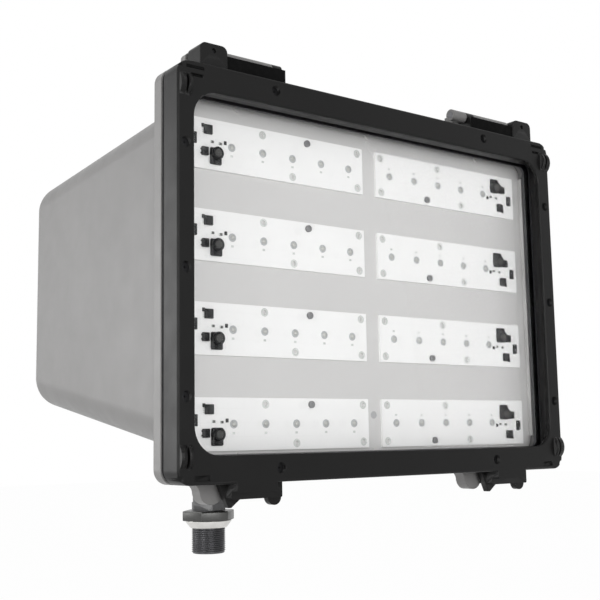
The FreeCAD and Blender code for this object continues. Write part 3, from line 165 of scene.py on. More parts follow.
class Finish:
    """One material, built from nodes that read the piece's own coordinates."""

    def __init__(self, name, **sockets):
        self.material = bpy.data.materials.new(name)
        self.material.use_nodes = True
        self.nodes = self.material.node_tree.nodes
        self.shader = self.nodes["Principled BSDF"]
        self.place = self.add("ShaderNodeTexCoord").outputs["Object"]
        self.fill(self.shader, sockets)

    def feed(self, socket, value):
        """Links a socket to another one, or gives it a plain value."""
        if isinstance(value, bpy.types.NodeSocket):
            self.material.node_tree.links.new(value, socket)
        else:
            socket.default_value = value

    def fill(self, node, sockets):
        for word, value in sockets.items():
            self.feed(node.inputs[word.replace("_", " ")], value)

    def add(self, kind, **sockets):
        node = self.nodes.new(kind)
        self.fill(node, sockets)
        return node

    def pair(self, kind, operation, first, second):
        """A node that works out one result from two values."""
        node = self.nodes.new(kind)
        node.operation = operation
        self.feed(node.inputs[0], first)
        self.feed(node.inputs[1], second)
        return node

    def noise(self, scale, detail=3.0, stretch=None):
        place = self.place
        if stretch:
            place = self.add("ShaderNodeMapping", Vector=place, Scale=stretch).outputs["Vector"]
        return self.add("ShaderNodeTexNoise", Vector=place, Scale=scale, Detail=detail).outputs["Fac"]

    def span(self, value, low, high, start=0.3, end=0.7):
        """Spreads what lies between start and end over the range from low to high."""
        node = self.add("ShaderNodeMapRange", Value=value, From_Min=start, From_Max=end,
                        To_Min=low, To_Max=high)
        return node.outputs["Result"]

    def blend(self, factor, first, second):
        node = self.nodes.new("ShaderNodeMix")
        node.data_type = "RGBA"
        for number, value in zip(MIX_INPUTS, (factor, first, second)):
            self.feed(node.inputs[number], value)
        return node.outputs[MIX_COLOUR]

    def mottled(self, scale, detail, first, second):
        """Soft patches of two colours."""
        return self.blend(self.span(self.noise(scale, detail), 0.0, 1.0), first, second)

    def rounded(self, radius):
        """A normal that rounds the sharp edges."""
        soft = self.add("ShaderNodeBevel", Radius=radius)
        soft.samples = 4
        return soft.outputs["Normal"]

    def wear(self, normal):
        """How far a rounded normal leans from the flat face, from 0 to 1."""
        flat = self.add("ShaderNodeNewGeometry").outputs["Normal"]
        lean = self.pair("ShaderNodeVectorMath", "DOT_PRODUCT", normal, flat)
        return self.span(lean.outputs["Value"], 1.0, 0.0, start=0.72, end=0.99)

    def bump(self, height, distance, strength, normal=None):
        node = self.add("ShaderNodeBump", Height=height, Strength=strength, Distance=distance)
        if normal is not None:
            self.feed(node.inputs["Normal"], normal)
        return node.outputs["Normal"]

    def finish(self, **sockets):
        self.fill(self.shader, sockets)
        return self.material


def shade(colour, factor):
    return (*(min(1.0, channel * factor) for channel in colour[:3]), 1.0)


def powder_coat(name, colour, edge, worn_colour, rough=(0.34, 0.42), gloss=0.5):
    """Fine textured powder coat on a casting, a little thinner on its edges."""
    coat = Finish(name, Specular_IOR_Level=gloss)
    normal = coat.rounded(edge)
    base = coat.mottled(9.0, 4.0, shade(colour, 0.94), shade(colour, 1.05))
    scuffs = coat.span(coat.noise(160.0), 0.0, 0.55, start=0.5, end=0.75)
    patchy = coat.pair("ShaderNodeMath", "MULTIPLY", coat.wear(normal), scuffs).outputs[0]
    pebbles = coat.noise(950.0, 2.0)
    return coat.finish(Base_Color=coat.blend(patchy, base, shade(worn_colour, 1.0)),
                       Roughness=coat.span(coat.noise(60.0), *rough),
                       Normal=coat.bump(pebbles, 0.00012, strength=0.35, normal=normal))


def bare_metal(name, colour, rough, stretch=(1.0, 1.0, 14.0), edge=0.0003):
    """Plated or plain metal with fine streaks from its machining."""
    metal = Finish(name, Metallic=1.0)
    streaks = metal.noise(420.0, stretch=stretch)
    return metal.finish(Base_Color=metal.mottled(70.0, 4.0, shade(colour, 0.86), shade(colour, 1.06)),
                        Roughness=metal.span(streaks, *rough),
                        Normal=metal.bump(streaks, 0.00003, strength=0.3, normal=metal.rounded(edge)))


def moulded(name, colour, rough=(0.35, 0.5), grain=1400.0, depth=0.00004, edge=0.0002, gloss=0.5):
    """Moulded plastic, epoxy or rubber with a fine skin."""
    skin = Finish(name, Specular_IOR_Level=gloss)
    return skin.finish(Base_Color=skin.mottled(120.0, 3.0, shade(colour, 0.88), shade(colour, 1.12)),
                       Roughness=skin.span(skin.noise(300.0), *rough),
                       Normal=skin.bump(skin.noise(grain), depth, strength=0.4, normal=skin.rounded(edge)))


def solder_mask(name, colour):
    """White solder mask, slightly raised over the copper that it covers."""
    mask = Finish(name)
    turn = mask.add("ShaderNodeMapping", Vector=mask.place, Rotation=(math.pi / 2, 0.0, 0.0))
    white, black = (1, 1, 1, 1), (0, 0, 0, 1)
    tracks = mask.add("ShaderNodeTexBrick", Vector=turn.outputs["Vector"], Scale=42.0, Mortar_Size=0.012,
                      Mortar_Smooth=0.3, Brick_Width=1.0, Row_Height=0.36, Color1=white, Color2=white,
                      Mortar=black).outputs["Color"]
    base = mask.mottled(24.0, 3.0, shade(colour, 0.97), shade(colour, 1.0))
    covered = mask.span(tracks, 0.0, 1.0, start=0.0, end=1.0)
    return mask.finish(Base_Color=mask.blend(covered, shade(colour, 0.965), base),
                       Roughness=mask.span(mask.noise(500.0), 0.34, 0.46),
                       Normal=mask.bump(tracks, 0.00003, strength=0.3))


def satin_plate(name, colour):
    """Satin coated sheet metal with a faint brushed grain along the plate."""
    sheet = Finish(name, Metallic=0.15)
    grain = sheet.noise(700.0, 2.0, (1.0, 1.0, 22.0))
    return sheet.finish(Base_Color=sheet.mottled(7.0, 3.0, shade(colour, 0.97), shade(colour, 1.02)),
                        Roughness=sheet.span(grain, 0.4, 0.52),
                        Normal=sheet.bump(grain, 0.00002, strength=0.25))


def clear_glass(name):
    """Tempered lens glass, clean and faintly wavy."""
    glass = Finish(name, Base_Color=(0.96, 0.985, 0.98, 1.0), Transmission_Weight=1.0, IOR=1.46, Alpha=0.04)
    waves = glass.noise(14.0, 1.0)
    return glass.finish(Roughness=glass.span(glass.noise(40.0), 0.0, 0.02),
                        Normal=glass.bump(waves, 0.00004, strength=0.15))


def diode_dome(name):
    """Glossy silicone over grey phosphor with fine specks."""
    dome = Finish(name, Coat_Weight=0.6, Coat_Roughness=0.04, IOR=1.42)
    specks = dome.noise(900.0, 2.0)
    tint = dome.blend(dome.span(specks, 0.0, 1.0), (0.4, 0.405, 0.39, 1), (0.48, 0.48, 0.46, 1))
    return dome.finish(Base_Color=tint, Roughness=dome.span(specks, 0.12, 0.22),
                       Normal=dome.bump(specks, 0.00002, strength=0.2))


def make_finishes(colours, sizes):
    edge = sizes.edge_round
    return {
        "grey_coat": powder_coat("grey_coat", colours.grey_coat, edge, (0.3, 0.295, 0.29), gloss=0.3),
        "black_coat": powder_coat("black_coat", colours.black_coat, edge, (0.03, 0.03, 0.03),
                                  rough=(0.3, 0.4), gloss=0.16),
        "knuckle_coat": powder_coat("knuckle_coat", colours.knuckle_coat, edge * 0.7, (0.14, 0.14, 0.14)),
        "nipple_coat": bare_metal("nipple_coat", (0.1, 0.1, 0.105), (0.3, 0.45), (6.0, 6.0, 1.0), 0.0001),
        "zinc": bare_metal("zinc", colours.zinc, (0.26, 0.4)),
        # Painted reflection: a brighter copy of the zinc for the locknut's cone seat, standing in for the
        # white floor seen in it
        "bright_zinc": bare_metal("bright_zinc", (0.7, 0.69, 0.67), (0.3, 0.42)),
        "black_oxide": bare_metal("black_oxide", (0.022, 0.022, 0.023), (0.4, 0.55)),
        "steel": bare_metal("steel", (0.42, 0.42, 0.43), (0.28, 0.42)),
        "screw_steel": bare_metal("screw_steel", (0.22, 0.22, 0.225), (0.3, 0.45)),
        "dark_steel": bare_metal("dark_steel", (0.1, 0.1, 0.105), (0.35, 0.5)),
        "bronze": bare_metal("bronze", (0.5, 0.38, 0.2), (0.3, 0.45)),
        "gasket": moulded("gasket", (0.012, 0.012, 0.013), (0.6, 0.75), 700.0, 0.00006, gloss=0.15),
        # Painted shade: a near-black finish for the strips on the hinge guards, standing in for the deep
        # shadow there
        "matte_black": moulded("matte_black", (0.003, 0.003, 0.003), (0.7, 0.85), 700.0, 0.00006, gloss=0.06),
        "plate_metal": satin_plate("plate_metal", colours.plate_metal),
        "board_white": solder_mask("board_white", colours.board_white),
        "pad_metal": bare_metal("pad_metal", (0.62, 0.64, 0.62), (0.35, 0.5)),
        "emitter_lens": diode_dome("emitter_lens"),
        "emitter_base": moulded("emitter_base", (0.42, 0.43, 0.44)),
        "component_black": moulded("component_black", colours.component_black, gloss=0.15),
        "component_grey": moulded("component_grey", (0.06, 0.06, 0.058), (0.3, 0.45), gloss=0.3),
        "electric_plastic": moulded("electric_plastic", (0.72, 0.7, 0.65)),
        "lead_cover": moulded("lead_cover", (0.06, 0.06, 0.062), (0.3, 0.45)),
        "clear_glass": clear_glass("clear_glass"),
    }


FINISHES = {}


# Shaping helpers

def block(bm, low, high, round_by=0.0, segments=2):
    """Adds a block between two corners, with rounded edges."""
    low, high = Vector(low), Vector(high)
    verts = bmesh.ops.create_cube(bm, size=1.0)["verts"]
    bmesh.ops.scale(bm, vec=high - low, verts=verts)
    bmesh.ops.translate(bm, vec=(low + high) / 2, verts=verts)
    if round_by:
        edges = list({edge for vert in verts for edge in vert.link_edges})
        bmesh.ops.bevel(bm, geom=edges, offset=round_by, segments=segments, profile=0.5, affect="EDGES",
                        material=-1, clamp_overlap=True)


def lathe(bm, profile, centre, axis, steps):
    """Spins a line of (radius, height) points round an axis, and closes it."""
    axis = Vector(axis).normalized()
    side = axis.orthogonal().normalized()
    centre = Vector(centre)
    verts = [bm.verts.new(centre + side * radius + axis * height) for radius, height in profile]
    edges = [bm.edges.new(pair) for pair in zip(verts, verts[1:])]
    bmesh.ops.spin(bm, geom=verts + edges, cent=centre, axis=axis, dvec=ORIGIN, angle=math.tau,
                   steps=steps, use_merge=True)


def closed(bm, distance=1e-7):
    """Merges seams and poles, and turns the faces outwards."""
    bmesh.ops.remove_doubles(bm, verts=bm.verts, dist=distance)
    bmesh.ops.dissolve_degenerate(bm, dist=distance, edges=bm.edges)
    bmesh.ops.recalc_face_normals(bm, faces=bm.faces)
    return bm


def copies(bm, places):
    """A bmesh with a copy of another at each place; the other one is freed."""
    template = bpy.data.meshes.new("template")
    bm.to_mesh(template)
    bm.free()
    many = bmesh.new()
    for matrix in places:
        start = len(many.verts)
        many.from_mesh(template)
        many.verts.ensure_lookup_table()
        bmesh.ops.transform(many, matrix=matrix, verts=many.verts[start:])
    bpy.data.meshes.remove(template)
    return many


def flat_regions(bm):
    """Area of the flat region that each face belongs to."""
    areas = {}
    for start in bm.faces:
        if start.index in areas:
            continue
        members = {start}
        queue = [start]
        while queue:
            for edge in queue.pop().edges:
                near = {face for face in edge.link_faces if start.normal.dot(face.normal) > FLAT} - members
                members |= near
                queue.extend(near)
        total = sum(face.calc_area() for face in members)
        areas.update((face.index, total) for face in members)
    return areas


def settle_normals(mesh):
    """Lets the large faces set the normals round them, so that flat faces look flat beside rounded edges."""
    bm = bmesh.new()
    bm.from_mesh(mesh)
    areas = flat_regions(bm)
    normals = []
    for loop in (loop for face in bm.faces for loop in face.loops):
        fan = {loop.face}
        queue = [loop.face]
        while queue:
            spokes = [edge for edge in queue.pop().edges if loop.vert in edge.verts and edge.smooth]
            near = {face for edge in spokes for face in edge.link_faces} - fan
            fan |= near
            queue.extend(near)
        normals.append(sum((face.normal * areas[face.index] for face in fan), Vector()).normalized())
    bm.free()
    mesh.normals_split_custom_set(normals)


def piece(name, bm, finish, body, *nodes, sharp=35.0, slot=None, settle=False):
    """Turns a bmesh into a piece of the scene that rides on a body and stands for CAD nodes."""
    mesh = bpy.data.meshes.new(name)
    bm.to_mesh(mesh)
    bm.free()
    mesh.materials.append(FINISHES[finish])
    mesh.polygons.foreach_set("use_smooth", [True] * len(mesh.polygons))
    mesh.set_sharp_from_angle(angle=math.radians(sharp))
    if settle:
        settle_normals(mesh)
    thing = bpy.data.objects.new(name, mesh)
    bpy.context.scene.collection.objects.link(thing)
    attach(thing, body)
    if nodes:
        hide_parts(*nodes)
    return thing


def mesh_of(node):
    """A bmesh of a CAD node with its seams merged."""
    bm = bmesh.new()
    bm.from_mesh(frame["nodes"][node].data)
    bmesh.ops.remove_doubles(bm, verts=bm.verts, dist=WELD)
    return bm


def casting(name, node, finish, sharp=28.0):
    """A smooth-shaded copy of a CAD casting."""
    return piece(name, mesh_of(node), finish, BODY_OF[node], node, sharp=sharp, settle=True)


def coat(**finishes):
    """Gives CAD nodes that stay in view their finishes."""
    for node, finish in finishes.items():
        slots = frame["nodes"][node].material_slots
        if not slots:
            raise RuntimeError(f"{node} has no material slot")
        for slot in slots:
            slot.material = FINISHES[finish]


def solids_of(node):
    """Lowest and highest corners of each separate solid of a CAD node."""
    bm = mesh_of(node)
    waiting = set(bm.verts)
    boxes = []
    while waiting:
        queue = [waiting.pop()]
        corners = []
        while queue:
            vert = queue.pop()
            corners.append(vert.co.copy())
            near = {edge.other_vert(vert) for edge in vert.link_edges} & waiting
            waiting -= near
            queue.extend(near)
        low = Vector([min(corner[i] for corner in corners) for i in range(3)])
        high = Vector([max(corner[i] for corner in corners) for i in range(3)])
        boxes.append((low, high))
    bm.free()
    return sorted(boxes, key=lambda box: tuple(round(value, 5) for value in box[0]))


def middle(box):
    low, high = box
    return (Vector(low) + Vector(high)) / 2


def foot(low, high):
    """Where a part stands on its board. The boards on the right are turned upside down."""
    spot = middle((low, high))
    spot.y = high.y
    return Matrix.Translation(spot) @ (TURNED if spot.x > 0 else Matrix.Identity(4))


def slab(half_width, rise, half_length, round_by):
    """A flat block on a board, with its sizes in millimetres."""
    bm = bmesh.new()
    block(bm, (-half_width * MM, -rise * MM, -half_length * MM), (half_width * MM, 0, half_length * MM),
          round_by * MM)
    return bm


def screw_head(bm, radius, height):
    """A domed head at the origin that faces forwards, marked with a cross."""
    dome = [(0, height), (radius * 0.55, height * 0.98), (radius * 0.85, height * 0.8),
            (radius, height * 0.4), (radius, 0), (0, 0)]
    lathe(bm, dome, ORIGIN, FRONT, steps=20)
    closed(bm)
    long = radius * 0.5
    short = long * 0.3
    for wide, high in ((long, short), (short, long)):
        block(bm, (-wide, -height - CROSS_RISE, -high), (wide, -height * 0.93, high))


def trim(bm, level, side):
    """Cuts off what lies above a level, or below it where side is -1."""
    bmesh.ops.bisect_plane(bm, geom=[*bm.verts, *bm.edges, *bm.faces], dist=1e-7, plane_co=(0, 0, level),
                           plane_no=(0, 0, side), clear_outer=True)


def thread_top():
    """The level where the nipple's thread ends and the knuckle's arm begins, just above the locknut."""
    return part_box("conduit_locknut")[1][2] + THREAD_PAST_NUT


# Pieces

class FLOODLIGHT_OT_castings(bpy.types.Operator):
    """Coats the housing and the door"""

    bl_idname = "floodlight.castings"
    bl_label = "Housing and door"

    def execute(self, context):
        casting("housing", "housing_shell", "grey_coat", sharp=24.0)
        casting("door", "door_frame", "black_coat", sharp=24.0)
        return {"FINISHED"}


class FLOODLIGHT_OT_lens(bpy.types.Operator):
    """Finishes the lens glass, its clamp and the gaskets"""

    bl_idname = "floodlight.lens"
    bl_label = "Lens and gaskets"

    def execute(self, context):
        coat(lens_glass="clear_glass", lens_clamp="dark_steel", lens_gasket="gasket", door_gasket="gasket")
        return {"FINISHED"}


class FLOODLIGHT_OT_boards(bpy.types.Operator):
    """Finishes the gear plate and the boards, and rings their holes"""

    bl_idname = "floodlight.boards"
    bl_label = "Gear plate and boards"
    # Millimetres out from the middle plane and up from the middle of a left board
    holes: tuple = ((10.9, 12.3), (10.9, -12.3), (91.0, 12.3), (67.0, -12.3))
    hole_radius: float = 1.66 * MM
    ring_rise: float = 0.05 * MM
    ring_edge: float = -0.1 * MM
    hole_floor: float = -0.3 * MM

    def execute(self, context):
        coat(gear_plate="plate_metal", **dict.fromkeys(BOARDS, "board_white"))
        places = []
        for node in BOARDS:
            low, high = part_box(node)
            side = 1 if low[0] > 0 else -1
            level = (low[2] + high[2]) / 2
            for outward, rise in self.holes:
                places.append(Matrix.Translation((outward * MM * side, low[1], level - rise * MM * side)))
        inner = self.hole_radius
        outer = inner + context.scene.floodlight_sizes.pad_ring
        bm = bmesh.new()
        lathe(bm, [(inner, self.hole_floor), (inner, self.ring_rise), (outer, self.ring_rise),
                   (outer, self.ring_edge)], ORIGIN, FRONT, steps=24)
        piece("board_hole_rings", copies(closed(bm), places), "pad_metal", "head", slot="steel")
        return {"FINISHED"}


class FLOODLIGHT_OT_emitters(bpy.types.Operator):
    """Makes the diodes: a round base, a dome and a solder pad each"""

    bl_idname = "floodlight.emitters"
    bl_label = "Diodes"
    dome_radius: float = 1.75 * MM
    dome_rise: float = 1.4 * MM
    dome_angles: tuple = (0, 0.3, 0.6, 0.9, 1.2, 1.45, math.pi / 2)
    base_radius: float = 2.7 * MM
    base_flat: float = 2.55 * MM
    base_rise: float = 0.4 * MM
    pad_low: tuple = (-1.0 * MM, -0.08 * MM, -6.3 * MM)
    pad_high: tuple = (1.0 * MM, 0.0, -4.9 * MM)

    def execute(self, context):
        places = [foot(*box) for box in solids_of("led_emitters")]
        radius, rim, base = self.dome_radius, self.base_radius, self.base_rise
        height = self.dome_rise - base
        dome = [(radius * math.sin(angle), base + height * math.cos(angle)) for angle in self.dome_angles]
        bm = bmesh.new()
        lathe(bm, [*dome, (radius, 0), (0, 0)], ORIGIN, FRONT, steps=20)
        piece("diode_domes", copies(closed(bm), places), "emitter_lens", "head", "led_emitters", sharp=60.0)
        bm = bmesh.new()
        lathe(bm, [(0, base), (self.base_flat, base), (rim, base * 0.7), (rim, 0), (0, 0)],
              ORIGIN, FRONT, steps=24)
        piece("diode_bases", copies(closed(bm), places), "emitter_base", "head", slot="component_black")
        bm = bmesh.new()
        block(bm, self.pad_low, self.pad_high, round_by=0.03 * MM, segments=1)
        piece("diode_pads", copies(bm, places), "pad_metal", "head", slot="steel")
        return {"FINISHED"}


class FLOODLIGHT_OT_components(bpy.types.Operator):
    """Makes the driver chips, capacitors, rectifiers, resistors and small chips on the boards"""

    bl_idname = "floodlight.components"
    bl_label = "Board components"
    legs: int = 4
    leg_pitch: float = 1.27 * MM
    # Half width, rise, half length and edge round in millimetres
    resistor: tuple = (0.85, 0.6, 0.8, 0.1)
    power_diode: tuple = (1.8, 1.4, 3.6, 0.3)
    small_chip: tuple = (0.9, 0.7, 1.2, 0.12)
    end_reach: float = 1.3 * MM
    end_rise: float = 0.62 * MM
    upright_rise: float = 1.0 * MM
    # Millimetres inwards and up from the upright diode of a left board
    chip_spots: tuple = ((6.7, 9.0), (23.2, -0.2))

    def measure(self, node):
        """Half the width, the rise and half the length of a node's solids, and their places."""
        boxes = solids_of(node)
        size = boxes[0][1] - boxes[0][0]
        return size.x / 2, size.y, size.z / 2, [foot(*box) for box in boxes]

    def drivers(self):
        half_x, tall, half_z, places = self.measure("board_drivers")
        stand_off = 0.15 * MM
        dot, dot_rise, dot_foot, dot_inset = 0.4 * MM, 0.03 * MM, -0.02 * MM, 1.1 * MM
        bm = bmesh.new()
        block(bm, (-half_x, -tall, -half_z), (half_x, -stand_off, half_z), round_by=0.25 * MM)
        lathe(bm, [(0, dot_rise), (dot, dot_rise), (dot, dot_foot)],
              (-half_x + dot_inset, -tall, half_z - dot_inset), FRONT, steps=12)
        piece("driver_chips", copies(closed(bm), places), "component_black", "head", "board_drivers")
        reach, half_leg, leg_rise = 1.1 * MM, 0.2 * MM, 0.3 * MM
        bm = bmesh.new()
        for i in range(self.legs):
            level = (i - (self.legs - 1) / 2) * self.leg_pitch
            for side in (-1, 1):
                near, far = sorted((side * half_x, side * (half_x + reach)))
                block(bm, (near, -leg_rise, level - half_leg), (far, 0.0, level + half_leg),
                      round_by=0.08 * MM, segments=1)
        piece("driver_legs", copies(bm, places), "pad_metal", "head", slot="steel")

    def capacitors(self):
        half_x, tall, half_z, places = self.measure("board_capacitors")
        can = half_x * 0.97
        centre = (0, 0, half_z - can)
        bm = bmesh.new()
        block(bm, (-half_x, -tall * 0.42, -half_z), (half_x, 0.0, half_z), round_by=1.2 * MM, segments=3)
        lathe(bm, [(0, tall * 0.93), (can * 0.62, tall * 0.93), (can * 0.66, tall), (can * 0.9, tall),
                   (can, tall * 0.9), (can, 0), (0, 0)], centre, FRONT, steps=28)
        piece("capacitors", copies(closed(bm), places), "component_black", "head", "board_capacitors")
        bm = bmesh.new()
        lathe(bm, [(0, tall * 0.96), (can * 0.3, tall * 0.96), (can * 0.6, tall * 0.945)],
              centre, FRONT, steps=24)
        piece("capacitor_tops", copies(closed(bm), places), "component_grey", "head", slot="component_black")

    def rectifiers(self):
        half_x, tall, half_z, places = self.measure("board_rectifiers")
        half_body = half_x * 0.86
        stand_off = 0.2 * MM
        half_leg, leg_rise = 0.5 * MM, 0.35 * MM
        bm = bmesh.new()
        block(bm, (-half_body, -tall, -half_z), (half_body, -stand_off, half_z), round_by=0.3 * MM)
        for level in (-0.5 * half_z, 0.5 * half_z):
            block(bm, (-half_x, -leg_rise, level - half_leg), (half_x, 0.0, level + half_leg),
                  round_by=0.1 * MM, segments=1)
        piece("rectifiers", copies(bm, places), "component_black", "head", "board_rectifiers")

    def resistors(self):
        """The small resistors, the upright diodes, and two small chips near each upright diode."""
        small, upright = [], []
        for low, high in solids_of("board_resistors"):
            kind = upright if high.y - low.y > self.upright_rise else small
            kind.append(foot(low, high))
        piece("resistors", copies(slab(*self.resistor), small), "component_grey", "head", "board_resistors")
        half_body, _, half_length, round_by = (size * MM for size in self.resistor)
        bm = bmesh.new()
        for side in (-1, 1):
            near, far = sorted((side * half_body, side * self.end_reach))
            block(bm, (near, -self.end_rise, -half_length), (far, 0, half_length), round_by)
        piece("resistor_ends", copies(bm, small), "pad_metal", "head", slot="steel")
        piece("power_diodes", copies(slab(*self.power_diode), upright), "component_black", "head",
              slot="component_black")
        near_spots = [Matrix.Translation((inward * MM, 0, rise * MM)) for inward, rise in self.chip_spots]
        places = [place @ spot for place in upright for spot in near_spots]
        piece("small_chips", copies(slab(*self.small_chip), places), "component_black", "head",
              slot="component_black")

    def execute(self, context):
        self.drivers()
        self.capacitors()
        self.rectifiers()
        self.resistors()
        return {"FINISHED"}


class FLOODLIGHT_OT_screws(bpy.types.Operator):
    """Makes the heads of the board, plate and door screws"""

    bl_idname = "floodlight.screws"
    bl_label = "Screws"
    # Node, the head's radius and height in millimetres, finish
    kinds: tuple = (("board_screws", 2.3, 1.4, "screw_steel"), ("plate_screws", 2.3, 1.4, "plate_metal"),
                    ("door_screws", 3.2, 2.4, "black_oxide"))

    def execute(self, context):
        for node, radius, height, finish in self.kinds:
            places = []
            for low, high in solids_of(node):
                spot = middle((low, high))
                places.append(Matrix.Translation((spot.x, low.y + height * MM, spot.z)))
            bm = bmesh.new()
            screw_head(bm, radius * MM, height * MM)
            piece(f"{node}_heads", copies(bm, places), finish, BODY_OF[node], slot="steel")
            coat(**{node: finish})
        return {"FINISHED"}


class FLOODLIGHT_OT_hinges(bpy.types.Operator):
    """Finishes the hinge pins and set screws, and faces the guards with near-black strips of painted shade"""

    bl_idname = "floodlight.hinges"
    bl_label = "Hinges"
    # Millimetres out from the middle plane, and along Y and Z from the hinge axis
    strip_span: tuple = (86.0, 130.4)
    strip_front: tuple = (-8.1, -7.3)
    strip_rise: tuple = (-9.8, -0.9)

    def execute(self, context):
        coat(hinge_pin_left="dark_steel", hinge_pin_right="dark_steel", hinge_set_screws="black_oxide")
        axis = middle(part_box("hinge_pin_left"))
        front, rear = (axis.y + reach * MM for reach in self.strip_front)
        bottom, top = (axis.z + reach * MM for reach in self.strip_rise)
        # Painted shade: near-black strips on the guards stand in for the deep shadow between the hinge towers
        bm = bmesh.new()
        for side in (-1, 1):
            near, far = sorted(reach * side * MM for reach in self.strip_span)
            block(bm, (near, front, bottom), (far, rear, top), round_by=0.2 * MM)
        piece("hinge_strips", bm, "matte_black", "door", slot="gasket")
        return {"FINISHED"}


class FLOODLIGHT_OT_latches(bpy.types.Operator):
    """Finishes the latch bolts and washers"""

    bl_idname = "floodlight.latches"
    bl_label = "Latches"

    def execute(self, context):
        coat(latch_bolt_left="steel", latch_washer_left="steel", latch_bolt_right="steel",
             latch_washer_right="steel")
        return {"FINISHED"}


class FLOODLIGHT_OT_knuckle(bpy.types.Operator):
    """Makes the knuckle's arm above the thread, and coats the yoke and the clamping pieces"""

    bl_idname = "floodlight.knuckle"
    bl_label = "Knuckle"

    def execute(self, context):
        bm = mesh_of("knuckle_arm")
        trim(bm, thread_top(), -1)
        piece("arm", bm, "knuckle_coat", "arm", "knuckle_arm", sharp=28.0, settle=True)
        casting("yoke", "knuckle_yoke", "knuckle_coat")
        coat(swivel_ring="bronze", pivot_bolt="steel", pivot_washer="zinc", pivot_nut="zinc",
             yoke_gasket="gasket", yoke_screws="steel")
        return {"FINISHED"}


class FLOODLIGHT_OT_nipple(bpy.types.Operator):
    """Cuts the nipple's thread as a helix and bores it"""

    bl_idname = "floodlight.nipple"
    bl_label = "Threaded nipple"
    steps: int = 48
    lead_length: float = 1.4 * MM
    lead_slope: float = 0.8
    bore_radius: float = 10.0 * MM
    bore_round: float = 0.5 * MM
    end_rise: float = 0.02 * MM
    seam: float = 2e-6

    def execute(self, context):
        sizes = context.scene.floodlight_sizes
        crest = sizes.thread_radius
        root = crest - sizes.thread_depth
        pitch = sizes.thread_pitch
        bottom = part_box("knuckle_arm")[0][2]
        top = thread_top()
        turns = math.ceil((top - bottom) / pitch) + 2
        start = bottom - pitch
        profile = ((root, 0), (root, 0.12), (crest, 0.44), (crest, 0.56), (root, 0.88), (root, 1))
        bm = bmesh.new()
        line = [bm.verts.new((radius, 0, start + share * pitch)) for radius, share in profile]
        edges = [bm.edges.new(pair) for pair in zip(line, line[1:])]
        bmesh.ops.spin(bm, geom=line + edges, cent=ORIGIN, axis=UP, dvec=(0, 0, pitch / self.steps),
                       angle=math.tau * turns, steps=self.steps * turns, use_merge=False)
        bmesh.ops.remove_doubles(bm, verts=bm.verts, dist=self.seam)
        trim(bm, bottom, -1)
        trim(bm, top, 1)
        bmesh.ops.recalc_face_normals(bm, faces=bm.faces)
        for vert in bm.verts:
            reach = math.hypot(vert.co.x, vert.co.y)
            limit = crest - max(0.0, bottom + self.lead_length - vert.co.z) * self.lead_slope
            if reach > limit:
                vert.co.xy *= limit / reach
        piece("nipple_thread", bm, "nipple_coat", "arm", slot="knuckle_coat", sharp=50.0)
        edge = crest - self.lead_length * self.lead_slope
        bore, rounding = self.bore_radius, self.bore_round
        bm = bmesh.new()
        lathe(bm, [(edge, bottom + self.end_rise), (bore + rounding, bottom), (bore, bottom + rounding),
                   (bore, top)], ORIGIN, UP, steps=48)
        piece("nipple_bore_wall", closed(bm), "nipple_coat", "arm", slot="knuckle_coat")
        return {"FINISHED"}


class FLOODLIGHT_OT_locknut(bpy.types.Operator):
    """Makes the hexagonal locknut with its bore and its cone seat"""

    bl_idname = "floodlight.locknut"
    bl_label = "Locknut"
    bore_gap: float = 0.1 * MM
    seat_height: float = 5.8 * MM
    corner_round: float = 0.5 * MM
    upright_least: float = 3.0 * MM
    # Radius and rise in millimetres: the seat's rim below the hexagon, and its end at the nut's foot
    seat_rim: tuple = ((18.7, 0.3), (19.3, -0.2), (19.2, -1.0))
    seat_end: tuple = ((15.8, 0.5), (15.4, 0.0))

    def bore(self, bm, radius):
        """Opens the two end faces of a prism and joins them by a round wall."""
        ends = [face for face in bm.faces if abs(face.normal.z) > 0.99 and len(face.verts) > 4]
        wall = []
        for end in ends:
            rim = list(end.edges)
            level = Matrix.Translation((0, 0, end.calc_center_median().z))
            bmesh.ops.delete(bm, geom=[end], context="FACES_ONLY")
            verts = bmesh.ops.create_circle(bm, segments=48, radius=radius, matrix=level)["verts"]
            ring = list({edge for vert in verts for edge in vert.link_edges})
            bmesh.ops.bridge_loops(bm, edges=rim + ring)
            wall += ring
        bmesh.ops.bridge_loops(bm, edges=wall)

    def bevel(self, bm, edges, width):
        bmesh.ops.bevel(bm, geom=edges, offset=width, segments=2, profile=0.5, affect="EDGES", material=-1)

    def execute(self, context):
        low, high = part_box("conduit_locknut")
        bottom, top = low[2], high[2]
        seat = bottom + self.seat_height
        sizes = context.scene.floodlight_sizes
        corner = sizes.nut_corner
        bore = sizes.thread_radius + self.bore_gap
        turn = Matrix.Rotation(math.pi / 2 + sizes.nut_turn, 4, "Z")
        bm = bmesh.new()
        bmesh.ops.create_cone(bm, cap_ends=True, segments=6, radius1=corner, radius2=corner, depth=top - seat,
                              matrix=Matrix.Translation((0, 0, (top + seat) / 2)) @ turn)
        rims = [edge for edge in bm.edges if abs(edge.verts[0].co.z - edge.verts[1].co.z) < WELD]
        self.bevel(bm, rims, sizes.nut_chamfer)
        uprights = [edge for edge in bm.edges
                    if abs(edge.verts[0].co.z - edge.verts[1].co.z) > self.upright_least]
        self.bevel(bm, uprights, self.corner_round)
        self.bore(bm, bore)
        piece("locknut", closed(bm), "zinc", "locknut", "conduit_locknut", sharp=30.0)
        # The seat is the nut's own zinc, made brighter as painted reflection of the white floor below it
        rim = [(radius * MM, seat + rise * MM) for radius, rise in self.seat_rim]
        end = [(radius * MM, bottom + rise * MM) for radius, rise in self.seat_end]
        bm = bmesh.new()
        lathe(bm, [*rim, *end, (bore, bottom), (bore, rim[0][1])], ORIGIN, UP, steps=64)
        piece("locknut_seat", closed(bm), "bright_zinc", "locknut", slot="zinc")
        return {"FINISHED"}


